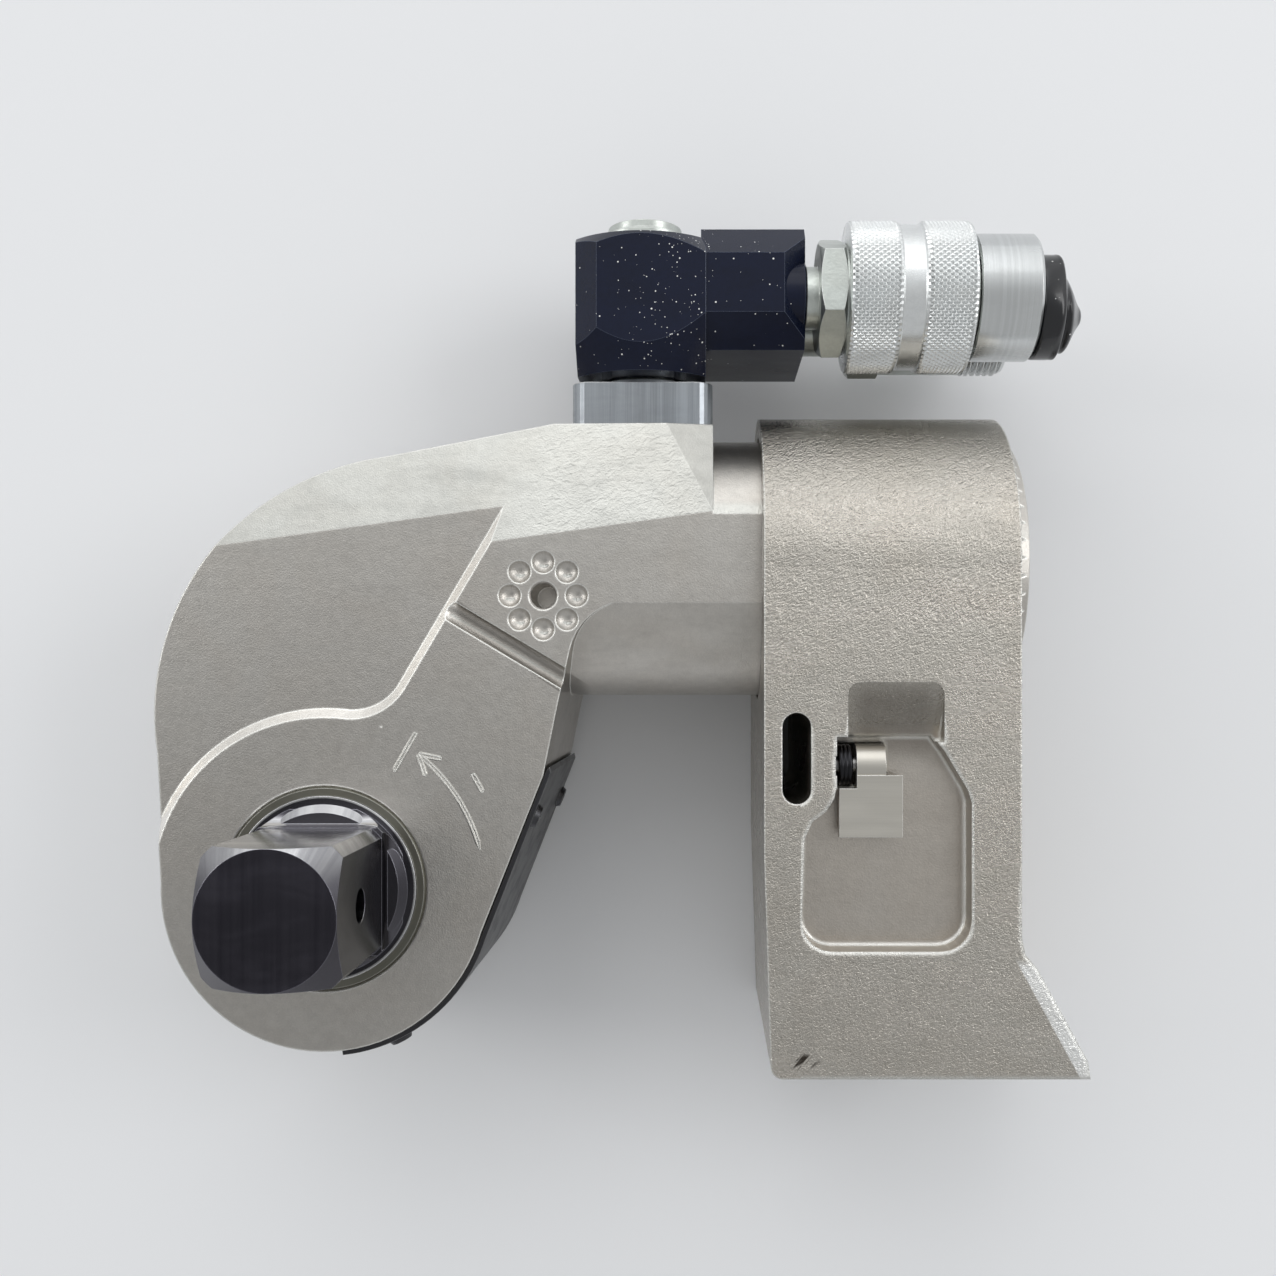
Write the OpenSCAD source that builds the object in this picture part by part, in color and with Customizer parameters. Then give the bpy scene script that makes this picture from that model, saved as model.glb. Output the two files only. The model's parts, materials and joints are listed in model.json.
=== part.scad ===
// Hydraulic torque wrench: square drive, ratchet mechanism, splined cylinder,
// reaction arm and swivelling hose couplings. Lengths are in millimetres.
// The drive turns about Z and its shoulder lies at Z = 0. The cylinder runs along X.

/* [Square drive] */
// Width of the square across its flats
square_af = 25.4; // [22:0.1:26]
// Length of the square beyond its shoulder
square_len = 34.4; // [30:0.1:45]
// Radius of the fillet round the root of the square
root_r = 3.4; // [2:0.1:3.6]
// Radius of the turned corners of the square
square_corner_r = 16.6; // [15.8:0.1:17.2]
// Radius of the flat disc at the end of the square
square_tip_r = 12.7; // [11:0.1:13.5]
// Radius of the round shoulder
shoulder_r = 18.8; // [18.2:0.1:19.4]
// Thickness of the round shoulder
shoulder_t = 3; // [2:0.1:4]
// Radius of the hole across the square for a socket's pin
socket_pin_r = 3.25; // [2.5:0.05:4]
// Distance from the shoulder to that hole
socket_pin_z = 19; // [15:0.5:24]

/* [Head] */
// Radius of the round nose about the drive
nose_r = 33.1; // [32.5:0.1:35]
// Thickness of the head
head_t = 53; // [52:0.5:58]
// Distance from the drive axis to the head's shoulder
head_len = 79; // [77:0.5:84]
// Thickness of each side wall of the head
wall_t = 9; // [8:0.1:10]
// Depth of the recessed panel
recess_d = 1.8; // [1:0.1:2.5]
// Slope of the bevelled top band, in degrees
bevel_angle = 14.3; // [8:0.1:18]
// Radius of the tapped hole for a handle
handle_r = 2.5; // [2:0.1:3]
// Depth of the tapped hole for a handle
handle_depth = 10; // [6:0.5:12]
// Radius of the ring of drilled dimples round the handle hole
dimple_ring_r = 6.8; // [6.2:0.1:8]
// Number of dimples
dimple_count = 8; // [4:1:8]

/* [Cylinder] */
// Distance from the drive axis to the cylinder axis
cyl_y = 67; // [66:0.5:70]
// Outer radius of the cylinder
cyl_r = 28; // [27.4:0.1:28.4]
// Radius of the cylinder's bore
bore_r = 19; // [17:0.1:20]
// Distance from the drive axis to the cylinder's end
cyl_end = 143; // [142:0.5:150]
// Stroke of the piston
stroke = 18; // [14:0.5:18]
// Radius of the piston rod
rod_r = 10; // [9:0.1:10.4]
// Radius of the pin that joins the rod to the lever
rod_pin_r = 5; // [4:0.1:5.5]

/* [Splines] */
// Number of spline grooves round the cylinder
spline_count = 48; // [48:24:96]
// Radius over the splines
spline_r = 28.9; // [28.6:0.1:29.3]
// Depth of the spline grooves
spline_d = 1.3; // [0.8:0.1:1.5]

/* [Ratchet] */
// Number of ratchet teeth
ratchet_teeth = 48; // [48:12:60]
// Radius over the ratchet teeth
ratchet_r = 24; // [23.4:0.1:24.4]
// Depth of the ratchet teeth
ratchet_d = 1.9; // [1.4:0.1:2.1]
// Width of the ratchet's toothed rim
ratchet_t = 19.6; // [17:0.2:20]

/* [Reaction arm] */
// Outer radius of the sleeve
sleeve_r = 32.9; // [32.8:0.1:35]
// Length of the sleeve along the splines
sleeve_len = 51; // [49:0.5:52]
// Distance from the drive axis to the near side of the sleeve
sleeve_x = 89; // [88:0.5:90]
// Distance of the foot below the drive axis
foot_y = 36.7; // [34:0.5:45]
// Reach of the flared foot beyond the sleeve
foot_flare = 13.6; // [8:0.2:18]
// Width of the lever pocket
pocket_w = 33.7; // [32:0.1:35]
// Height of the lever pocket
pocket_h = 34.5; // [32:0.5:38]
// Depth of the lever pocket
pocket_d = 6; // [5.8:0.1:8]
// Width of the slot through the arm
slot_w = 5.7; // [4.4:0.1:7]
// Length of the slot through the arm
slot_len = 18.1; // [12:0.1:22]

/* [Swivel] */
// Distance from the drive axis to the swivel post
post_x = 64; // [63:0.5:66]
// Radius of the swivel post
post_r = 9; // [8:0.1:9.6]
// Width and depth of the post's base block
base_w = 30; // [27:0.5:31]
// Depth of the swivel block across both couplings
block_w = 42; // [41:0.5:46]
// Height of the swivel block
block_h = 31; // [29:0.1:33]
// Reach of the swivel block beyond the post
block_reach = 34.5; // [32:0.5:38]
// Distance between the two coupling axes
port_pitch = 26; // [25.6:0.1:28]

/* [Couplings] */
// Radius of the knurled collar
collar_r = 15.65; // [14.5:0.05:15.8]
// Length of the knurled collar
collar_len = 25.8; // [22:0.1:28]
// Width across flats of the front hexagon
hex_af = 22.2; // [20:0.1:23]
// Radius of the smooth nose of the front coupling
nose_tube_r = 13.1; // [11.6:0.1:13.4]
// Radius of the threaded nose of the rear coupling
thread_r = 10; // [8.6:0.1:10.4]
// Radius of the rubber dust plug
plug_r = 10.8; // [9:0.1:11]

/* [Hidden] */
// Everything below follows from the sizes above
$fn = 96;

// Clearances and overrun
over = 1;
run_gap = 0.06;
seat_gap = 0.02;
free_gap = 0.3;
side_gap = 0.3;
tooth_gap = 0.12;

// Levels through the thickness, measured from the drive's shoulder
shoulder_rise = 0.5;
front_z = -shoulder_rise;
back_z = front_z - head_t;
mid_z = front_z - head_t / 2;
cav_t = head_t - 2 * wall_t;
cav_front_z = front_z - wall_t;
cav_back_z = back_z + wall_t;
plate_t = (cav_t - ratchet_t) / 2 - 1.5 * side_gap;
plate_front_z = cav_front_z - side_gap;
plate_back_z = cav_back_z + side_gap;

// Outline of the head
head_top_y = cyl_y + cyl_r + shoulder_rise;
crown_r = 0.8 * cyl_y;
crown_x = 0.275 * cyl_y;
crown_y = 0.53 * cyl_y;
inside_share = 0.997;
flank_shares = [[-0.54, 0.7], [-0.56, 1.42], [0.45, 1.42], [0.45, 0.4]];
cheek_shares = [[-0.518, 0.448], [-0.4, 0.7], [0, 0.7], [0, 0]];
brow_shares = [[0.1015, 1.3095], [0.687, 1.418]];
flank_top_x = 0.664 * cyl_y;
flank_top_y = 0.342 * cyl_y;
flank_mid_x = 0.703 * cyl_y;
flank_mid_y = 0.536 * cyl_y;
flank_touch_a = -17.6;
notch_r = 0.19 * cyl_y;
notch_x = 0.93 * cyl_y;
notch_y = cyl_y + shoulder_rise - sqrt(cyl_r * cyl_r - head_t * head_t / 4) - notch_r;
notch_steps = 8;

// Bevelled band, recessed panel and drill marks on each side of the head
bevel_x = 0.51 * cyl_y;
bevel_y = 1.051 * cyl_y;
bevel_run_a = 7.85;
corner_a = -54;
corner_tilt_a = 20;
corner_top_x = head_len - 0.21 * cyl_y;
step_x = 0.252 * cyl_y;
step_y = 0.645 * cyl_y;
step_a = 59.5;
ring_r = nose_r + 2.5 * shoulder_rise * 2;
cutter_r = 0.18 * cyl_y;
handle_x = 0.664 * cyl_y;
handle_y = 0.887 * cyl_y;
dimple_r = 0.94 * handle_r;
dimple_d = 0.55 * dimple_r;
dimple_ball_r = (dimple_r * dimple_r + dimple_d * dimple_d) / (2 * dimple_d);
groove_r = 0.9 * handle_r;
groove_from_shares = [0.39, 0.837];
groove_to_shares = [0.73, 0.634];

// Drive train
boss_r = 8.5 / 5 * rod_pin_r;
pin_reach = norm([cyl_y, stroke / 2]);
swing_a = atan2(stroke / 2, cyl_y);
lever_foot_r = ratchet_r + 2;
lever_side_shares = [[0.85, 0.5], [-0.85, 0.5]];
cavity_r = lever_foot_r + 1.2;
journal_r = shoulder_r;
bush_t = 1.9;
bush_r = shoulder_r + bush_t;
bore_bevel = 0.35;
spline_count_drive = 12;
drive_spline_r = 0.83 * shoulder_r;
drive_spline_d = 1.6;
pawl_span_a = 17;
pawl_r = ratchet_r + 8;
pawl_lift = ratchet_d + 0.3;
spacer_r = pawl_r + pawl_lift + 2 * side_gap;
spacer_h = 12;
spacer_top_r = spacer_r + spacer_h;
spacer_w = 26;
spacer_pin_r = 2.2;
spacer_pin_x = 8;
spacer_pin_rise = 8;

// Cylinder
piston_len = 18;
bore_len = 65;
bore_x = cyl_end - bore_len;
gland_len = 9;
cap_len = 17;
cap_sunk = 2;
cap_x = cyl_end - cap_len - cap_sunk;
piston_gap = 0.8;
piston_x = cap_x - piston_len - piston_gap;
spline_lip = 3;
tongue_t = ratchet_t - 2 * side_gap;
tunnel_r = rod_r + 1;
seal_r = 1.2;

// Reaction arm
sleeve_proud = 0.1;
arm_half_t = sleeve_r - sleeve_proud;
arm_front_z = mid_z + arm_half_t;
sleeve_end_x = sleeve_x + sleeve_len;
toe_x = sleeve_end_x + foot_flare;
foot_draft = 1.3;
foot_corner_r = 2.4;
foot_bevel_d = 1.8;
toe_shares = [0.956, 0.9];
knee_shares = [0.22, 0.4];
bend_shares = [0.05, 0.33];
pivot_drop = 41.7;
pivot_y = cyl_y - pivot_drop;
pocket_drop = 36.8;
pocket_y = pivot_y - pocket_drop;
pocket_edge = 7.4;
pocket_x = sleeve_x + pocket_edge;
pocket_corner_r = 6;
pocket_top_share = 1.232;
pocket_right_shares = [[1, 0.855], [0.976, 0.928], [0.843, 1.148], [0.8, 1.2]];
pocket_left_shares = [[0.2077, 0.95], [0.19, 0.875], [0.1424, 0.803], [0.0623, 0.745], [0.0148, 0.643]];
ramp_x = pocket_x + 0.273 * pocket_w;
ramp_w = 0.567 * pocket_w;
ramp_low_y = pocket_y + pocket_top_share * pocket_h;
ramp_top_y = ramp_low_y + 0.316 * pocket_h;
ramp_d = 0.7 * pocket_d;
ramp_edge_d = 0.05 * pocket_d;
ramp_corner_r = 2.5;
slot_edge = 6.45;
slot_x = sleeve_x + slot_edge;
slot_rise = 1.45;
slot_y = pivot_y + slot_rise;
pivot_sunk = 4.4;
pivot_z = arm_front_z - pivot_sunk;
knuckle_r = 4.2;
knuckle_gap = 0.6;
knuckle_edge = 18.4;
knuckle_x = sleeve_x + knuckle_edge;
knuckle_w = 5.8;
lever_w = 12.6;
lever_t = 2.2;
lever_len = 12.3;
lever_side = 3.5;
lever_sunk = 0.2;
lever_drop = 1.9;
pivot_r = 1.5;
pivot_seat = 3.7;
lever_wire_r = 0.6;
lever_turns = 3;
spring_side = 0.28;
spring_space = lever_turns * 2.05 * lever_wire_r + 2 * spring_side;
plunger_a = 150;
plunger_r = 1.9;
plunger_len = 16.3;
plunger_free = 2.4;
tip_depth = 0.6;

// Swivel
base_y = head_top_y;
base_h = 10;
post_collar_h = 1.6;
post_collar_w = 2.4;
block_y = base_y + base_h + post_collar_h + side_gap;
block_top_y = block_y + block_h;
port_y = block_y + 0.526 * block_h;
block_back = 14;
block_x = post_x - block_back;
hub_reach = 13.5;
hub_x = post_x + hub_reach;
hub_edge = 4.8;
hub_shares = [[0, 0], [0.845, 0], [1.257, 0.432], [1.257, 0.716], [0.962, 0.916], [0.571, 1], [0, 1]];
arm_sunk = 0.4;
arm_shares = [[0.162, 0.69], [0.367, 1], [0.764, 1], [1, 0.645]];
arm_edge = 4.6;
block_end_x = post_x + block_reach;
front_port_z = mid_z + port_pitch / 2;
rear_port_z = mid_z - port_pitch / 2;

// Front coupling
nipple_r = 6.5;
nipple_len = 2.7;
nipple_gap = 0.2;
port_r = 0.85 * nipple_r;
port_depth = 8;
hex_len = 5.8;
hex_turn_a = 26.4;
hex_x = block_end_x + nipple_len;
collar_x = hex_x + hex_len;
collar_edge = 0.6;
band_rise = 0.5;
band_len = 0.41 * collar_len;
body_r = 11;
stem_r = 0.8 * body_r;
stem_len = 10;
bore_step = 5;
nose_gap = 1.2;
nose_x = collar_x + collar_len + nose_gap;
nose_len = 12.7;
nose_edge = 0.6;
nose_floor = 3;
plug_stem_r = 0.8 * plug_r;
plug_stem_len = 8;
plug_shares = [[1, 0], [1, 0.28], [0.96, 0.38], [0.97, 0.46], [0.82, 0.6],
    [0.8, 0.68], [0.5, 0.84], [0.2, 0.9], [0, 0.965]];

// Rear coupling
rear_nipple_r = 0.85 * nipple_r;
rear_side_gap = 0.6;
rear_body_r = port_pitch - collar_r - rear_side_gap;
rear_hex_af = 0.85 * hex_af;
rear_hex_x = collar_x + 0.12 * collar_len;
rear_hex_len = 8;
rear_nose_gap = 4.6;
rear_nose_x = collar_x + collar_len + rear_nose_gap;
rear_nose_len = 9.2;
rear_stem_r = 0.8 * thread_r;
rear_stem_len = 10;
rear_bore_r = 0.55 * thread_r;
rear_bore_step = 6;
thread_count = 5;
poppet_r = 0.3 * thread_r;
poppet_foot = 3;

// Points on an arc about a centre, from one angle to another
function arc(c, r, a0, a1, n) =
    [for (i = [0 : n]) c + r * [cos(a0 + (a1 - a0) * i / n), sin(a0 + (a1 - a0) * i / n)]];

// Points scaled from shares
function scaled(shares, size) = [for (p = shares) p * size];

// Outline with evenly spaced teeth: tips on r, roots d deeper, w of the pitch open
function toothed(n, r, d, tip_share, root_share) =
    [for (i = [0 : n - 1]) each
        let (p = 360 / n, a = i * p)
        [(r - d) * [cos(a - p * root_share), sin(a - p * root_share)],
         (r - d) * [cos(a + p * root_share), sin(a + p * root_share)],
         r * [cos(a + p * (0.5 - tip_share)), sin(a + p * (0.5 - tip_share))],
         r * [cos(a + p * (0.5 + tip_share)), sin(a + p * (0.5 + tip_share))]]];

// Cylinder along X, starting at x
module rod_x(x, y, z, r, len) {
    translate([x, y, z]) rotate([0, 90, 0]) cylinder(r = r, h = len);
}

// Cylinder along Y, starting at y
module rod_y(x, y, z, r, len) {
    translate([x, y, z]) rotate([-90, 0, 0]) cylinder(r = r, h = len);
}

// Round ring along X with a plain bore
module ring_x(x, y, z, r_out, r_in, len) {
    difference() {
        rod_x(x, y, z, r_out, len);
        rod_x(x - over, y, z, r_in, len + 2 * over);
    }
}

// Round ring along Z with a plain bore
module ring_z(z, r_out, r_in, len) {
    translate([0, 0, z]) difference() {
        cylinder(r = r_out, h = len);
        translate([0, 0, -over]) cylinder(r = r_in, h = len + 2 * over);
    }
}

// Copies the children to both sides of the head
module both_sides() {
    children();
    translate([0, 0, 2 * mid_z]) mirror([0, 0, 1]) children();
}

// Block with round vertical corners, standing on z = 0
module round_block(w, l, h, r) {
    linear_extrude(h) polygon(concat(
        arc([w / 2 - r, l / 2 - r], r, 0, 90, 6), arc([r - w / 2, l / 2 - r], r, 90, 180, 6),
        arc([r - w / 2, r - l / 2], r, 180, 270, 6), arc([w / 2 - r, r - l / 2], r, 270, 360, 6)));
}

// Head: round nose, long crown, brow and the block that carries the cylinder
module head_block() {
    translate([0, 0, back_z]) {
        cylinder(r = nose_r, h = head_t);
        intersection() {
            translate([crown_x, crown_y, 0]) cylinder(r = crown_r, h = head_t, $fn = 180);
            linear_extrude(head_t) polygon(concat(
                [[-nose_r * inside_share, 0]], scaled(flank_shares, cyl_y), [[0, 0]]));
        }
        linear_extrude(head_t) polygon(concat(
            [[-nose_r * inside_share, 0]], scaled(cheek_shares, cyl_y)));
        linear_extrude(head_t) polygon(concat(
            [[0, 0], nose_r * inside_share * [cos(flank_touch_a), sin(flank_touch_a)],
             [flank_top_x, flank_top_y], [flank_mid_x, flank_mid_y]],
            arc([notch_x, notch_y], notch_r, 170, 90, notch_steps),
            [[head_len, notch_y + notch_r], [head_len, head_top_y]],
            [[brow_shares[1][0] * cyl_y, head_top_y], brow_shares[0] * cyl_y]));
    }
}

// Cylinder barrel, milled flat on both sides ahead of its splines
module barrel() {
    spline_x = sleeve_x + spline_lip - over - free_gap;
    intersection() {
        rod_x(flank_top_x, cyl_y, mid_z, cyl_r, sleeve_x + spline_lip - free_gap - flank_top_x);
        union() {
            translate([0, 0, back_z]) cube([sleeve_x + over, cyl_y + 2 * cyl_r, head_t]);
            translate([sleeve_x + free_gap, 0, mid_z - 2 * cyl_r])
                cube([2 * spline_lip, cyl_y + 2 * cyl_r, 4 * cyl_r]);
        }
    }
    intersection() {
        translate([spline_x, cyl_y, mid_z]) rotate([90, 0, 90])
            linear_extrude(cyl_end - spline_x)
                polygon(toothed(spline_count, spline_r, spline_d, 0.27, 0.02));
        translate([cyl_end, cyl_y, mid_z]) rotate([0, -90, 0])
            cylinder(r1 = spline_r - 1.2 * spline_d, r2 = spline_r + cyl_end - sleeve_x, h = cyl_end);
    }
}

// Sloping band along the top of one side, with its own facet at the corner
module bevel_cut() {
    corner_run = norm([corner_top_x - head_len, head_top_y - bevel_y]);
    corner_drop = (head_top_y - bevel_y - (corner_top_x - bevel_x) * sin(bevel_run_a))
        * tan(bevel_angle);
    intersection() {
        translate([-cyl_y, 0, back_z]) cube([cyl_y + head_len, 2 * cyl_y, 2 * head_t]);
        union() {
            translate([bevel_x, bevel_y, front_z]) rotate([0, 0, bevel_run_a])
                rotate([-bevel_angle, 0, 0]) translate([-cyl_y, 0, 0]) cube([3 * cyl_y, cyl_y, head_t]);
            translate([head_len, bevel_y + (head_len - bevel_x) * sin(bevel_run_a), front_z])
                rotate([0, 0, corner_a]) rotate([0, -atan2(corner_drop, corner_run), 0])
                    rotate([-corner_tilt_a, 0, 0]) translate([-cyl_y, 0, 0])
                        cube([2 * cyl_y, cyl_y, head_t]);
        }
    }
}

// Recessed panel: everything above the ring round the drive and left of the step
module recess_cut() {
    floor_z = front_z - recess_d;
    lean = recess_d / 2;
    along = [cos(step_a), sin(step_a)];
    aside = [-sin(step_a), cos(step_a)];
    base = [step_x, step_y] + cutter_r * inside_share * aside;
    far = ring_r + cutter_r * inside_share;
    slide_back = -base * along + sqrt(pow(base * along, 2) - base * base + far * far);
    corner = base + slide_back * along;
    touch_line = corner - cutter_r * aside;
    touch_ring = corner * ring_r / far;
    outside = corner + 1.6 * ((touch_line + touch_ring) / 2 - corner);
    translate([0, 0, floor_z]) difference() {
        translate([-cyl_y, 0, 0]) cube([2 * cyl_y, 2 * cyl_y, 2 * recess_d]);
        translate([0, 0, -over])
            cylinder(r1 = ring_r + lean + over, r2 = ring_r + lean - 3 * recess_d, h = over + 3 * recess_d);
        translate([step_x, step_y, 0]) rotate([0, 0, step_a]) translate([0, lean, 0])
            rotate([45, 0, 0]) translate([-3 * cyl_y, -4 * cyl_y, -cyl_y]) cube([6 * cyl_y, 4 * cyl_y, 2 * cyl_y]);
        difference() {
            translate([0, 0, -over]) linear_extrude(3 * recess_d + over)
                polygon([corner, touch_line - 3 * lean * aside, outside, 0.92 * touch_ring]);
            translate([corner[0], corner[1], -2 * over])
                cylinder(r1 = cutter_r - lean - 2 * over, r2 = cutter_r - lean + 4 * recess_d,
                         h = 2 * over + 4 * recess_d);
        }
    }
}

// Ball-milled groove, handle hole and its ring of drill points
module side_marks() {
    from = groove_from_shares * cyl_y;
    to = groove_to_shares * cyl_y;
    run = to - from;
    lift = groove_r * 0.4;
    translate([from[0], from[1], front_z + lift]) {
        rotate([0, 90, atan2(run[1], run[0])]) cylinder(r = groove_r, h = norm(run) + 4 * groove_r);
        sphere(r = groove_r);
    }
    translate([handle_x, handle_y, front_z - handle_depth]) cylinder(r = handle_r, h = handle_depth + over);
    translate([handle_x, handle_y, front_z - handle_r / 5])
        cylinder(r1 = handle_r, r2 = handle_r * 7 / 5, h = handle_r * 2 / 5);
    for (i = [0 : dimple_count - 1])
        translate([handle_x, handle_y, 0]) rotate([0, 0, 90 + i * 360 / dimple_count])
            translate([dimple_ring_r, 0, front_z - dimple_d + dimple_ball_r]) sphere(r = dimple_ball_r);
}

// Space for the ratchet, the lever and the rod, open on the shroud's side
module cavity() {
    pin_x = stroke / 2;
    round_r = boss_r + 2 * side_gap;
    translate([0, 0, cav_back_z]) {
        cylinder(r = cavity_r, h = cav_t);
        for (x = [-pin_x, pin_x]) translate([x, cyl_y, 0]) cylinder(r = round_r, h = cav_t);
        translate([-pin_x, cyl_y - over, 0]) cube([stroke, round_r + over, cav_t]);
        linear_extrude(cav_t) polygon([
            [-cavity_r * inside_share, 0], [-cavity_r * 0.95, ratchet_r * 0.6],
            [-pin_x - round_r * inside_share, cyl_y], [pin_x + round_r * inside_share, cyl_y],
            [cavity_r * 0.95, ratchet_r * 0.6], [cavity_r * inside_share, 0]]);
        linear_extrude(cav_t) polygon([
            [0, -cavity_r * 0.9], [nose_r * 0.4, -nose_r * 1.3], [nose_r * 1.6, -nose_r * 0.5],
            [flank_top_x * 1.2, flank_top_y * 0.85], [cavity_r * 0.9, flank_top_y * 0.85]]);
    }
    rod_x(0, cyl_y, mid_z, tunnel_r, bore_x + over);
    rod_x(bore_x, cyl_y, mid_z, bore_r, cyl_end - bore_x + over);
}

// Direction of the straight side of the head under the shroud
flank_from = nose_r * [cos(flank_touch_a), sin(flank_touch_a)];
flank_run = [flank_top_x, flank_top_y] - flank_from;
flank_a = atan2(flank_run[1], flank_run[0]);
flank_len = norm(flank_run);
shroud_t = 1;
shroud_low_a = -84;
shroud_screw_r = 1.3;
shroud_screw_len = 6;

// Places one shroud screw, pointing outwards along Z, in each side wall
module at_shroud_screws() {
    for (z = [front_z - wall_t / 2, back_z + wall_t / 2]) {
        translate([flank_from[0] + 0.75 * flank_run[0], flank_from[1] + 0.75 * flank_run[1], z])
            rotate([0, 90, flank_a - 90]) children();
        rotate([0, 0, -65]) translate([nose_r, 0, z]) rotate([0, 90, 0]) children();
    }
}

module housing() {
    color("#b4b2ac") difference() {
        union() {
            head_block();
            barrel();
        }
        both_sides() {
            bevel_cut();
            recess_cut();
            side_marks();
            translate([0, 0, front_z - bore_bevel])
                cylinder(r1 = bush_r, r2 = bush_r + 2 * bore_bevel, h = 2 * bore_bevel);
        }
        cavity();
        translate([0, 0, back_z - over]) cylinder(r = bush_r, h = head_t + 2 * over);
        rod_y(post_x, base_y - base_h * 0.8, mid_z, post_r * 0.9, base_h);
        at_base_screws() translate([0, 0, -base_screw_grip])
            cylinder(r = base_screw_r, h = base_screw_grip + over);
        at_shroud_screws() translate([0, 0, -shroud_screw_len])
            cylinder(r = shroud_screw_r, h = shroud_screw_len + over);
    }
}

module bush(z) {
    translate([0, 0, z]) difference() {
        union() {
            cylinder(r = bush_r - seat_gap, h = wall_t - bore_bevel);
            translate([0, 0, wall_t - bore_bevel])
                cylinder(r1 = bush_r - seat_gap, r2 = bush_r - seat_gap - bore_bevel, h = bore_bevel);
        }
        translate([0, 0, -over]) cylinder(r = journal_r + run_gap, h = wall_t + 2 * over);
    }
}

module front_bush() {
    color("#6e6c5a") bush(cav_front_z);
}

module rear_bush() {
    color("#6e6c5a") translate([0, 0, 2 * mid_z]) mirror([0, 0, 1]) bush(cav_front_z);
}

// Thin cover that follows the nose and the straight side of the head
module shroud() {
    in_r = nose_r + free_gap / 2;
    out_r = in_r + shroud_t;
    along = flank_run / flank_len;
    aside = [along[1], -along[0]];
    steps = 22;
    color("#3a3c40") difference() {
        translate([0, 0, back_z + shroud_t]) linear_extrude(head_t - 2 * shroud_t) polygon(concat(
            arc([0, 0], out_r, shroud_low_a, flank_touch_a, steps),
            [flank_from + (flank_len + shroud_t) * along + (out_r - nose_r) * aside,
             flank_from + (flank_len + 2 * shroud_t) * along + shroud_t / 2 * aside,
             flank_from + (flank_len + shroud_t) * along + (in_r - nose_r) * aside],
            arc([0, 0], in_r, flank_touch_a, shroud_low_a, steps)));
        at_shroud_screws() cylinder(r = shroud_screw_r + run_gap, h = 3 * shroud_t);
    }
}

module shroud_screws() {
    color("#2b2b2e") at_shroud_screws() difference() {
        union() {
            translate([0, 0, -shroud_screw_len + over])
                cylinder(r = shroud_screw_r - seat_gap, h = shroud_screw_len + shroud_t);
            translate([0, 0, free_gap / 2 + shroud_t])
                cylinder(r1 = 2 * shroud_screw_r, r2 = 1.6 * shroud_screw_r, h = 0.8 * shroud_screw_r);
        }
        translate([0, 0, shroud_t]) cylinder(r = 0.8 * shroud_screw_r, h = 3 * shroud_t, $fn = 6);
    }
}

// Screwed gland that guides the rod at the end of the bore
module rod_gland() {
    color("#8d7b4f") difference() {
        rod_x(bore_x, cyl_y, mid_z, bore_r - seat_gap, gland_len);
        rod_x(bore_x - over, cyl_y, mid_z, rod_r + run_gap, gland_len + 2 * over);
        rod_x(bore_x + gland_len / 3, cyl_y, mid_z, rod_r + 1.5 * seal_r, gland_len / 3);
    }
}

module rod_seal() {
    color("#1d1d1f") ring_x(bore_x + gland_len / 3 + side_gap / 2, cyl_y, mid_z,
        rod_r + 1.5 * seal_r - seat_gap, rod_r + run_gap, gland_len / 3 - side_gap);
}

// Plug that closes the bore, with two holes for a pin spanner
module end_cap() {
    color("#8f9094") difference() {
        rod_x(cap_x, cyl_y, mid_z, bore_r - seat_gap, cap_len);
        ring_x(cap_x + cap_len / 3, cyl_y, mid_z, bore_r + over, bore_r - 1.5 * seal_r, cap_len / 6);
        for (side = [-1, 1])
            rod_x(cap_x + cap_len * 0.7, cyl_y, mid_z + side * bore_r * 0.6, bore_r / 8, cap_len);
    }
}

module cap_seal() {
    color("#1d1d1f") ring_x(cap_x + cap_len / 3 + side_gap / 2, cyl_y, mid_z,
        bore_r - seat_gap, bore_r - 1.5 * seal_r + seat_gap, cap_len / 6 - side_gap);
}

// Base block under the swivel, screwed to the head
base_screw_r = 2;
base_screw_grip = 7;
base_screw_pitch = 20;

module at_base_screws() {
    for (dx = [-1, 1], dz = [-1, 1])
        translate([post_x + dx * base_screw_pitch / 2, base_y, mid_z + dz * base_screw_pitch / 2])
            rotate([-90, 0, 0]) children();
}

module swivel_base() {
    color("#c2c3c4") difference() {
        union() {
            translate([post_x, base_y, mid_z]) rotate([-90, 0, 0])
                round_block(base_w, base_w, base_h, base_w / 8);
            rod_y(post_x, base_y + base_h - over, mid_z, post_r + post_collar_w, over + post_collar_h);
        }
        rod_y(post_x, base_y - over, mid_z, post_r + seat_gap, base_h + post_collar_h + 2 * over);
        at_base_screws() {
            translate([0, 0, -over]) cylinder(r = base_screw_r + run_gap, h = base_h + 2 * over);
            translate([0, 0, base_h / 2]) cylinder(r = 1.7 * base_screw_r, h = base_h);
        }
    }
}

module base_screws() {
    color("#2b2b2e") at_base_screws() difference() {
        union() {
            translate([0, 0, -base_screw_grip + over])
                cylinder(r = base_screw_r - seat_gap, h = base_screw_grip + base_h / 2);
            translate([0, 0, base_h / 2]) cylinder(r = 1.6 * base_screw_r, h = 1.8 * base_screw_r);
        }
        translate([0, 0, base_h / 2 + base_screw_r])
            cylinder(r = 0.85 * base_screw_r, h = 2 * base_screw_r, $fn = 6);
    }
}

// Hollow post that carries oil up to the swivel block
post_head_h = 4.1;
post_head_r = 0.91 * post_r;
post_top_y = block_top_y + post_head_h;
groove_w = 2.6;
groove_share = [0.12, 0.44, 0.76];

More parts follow.
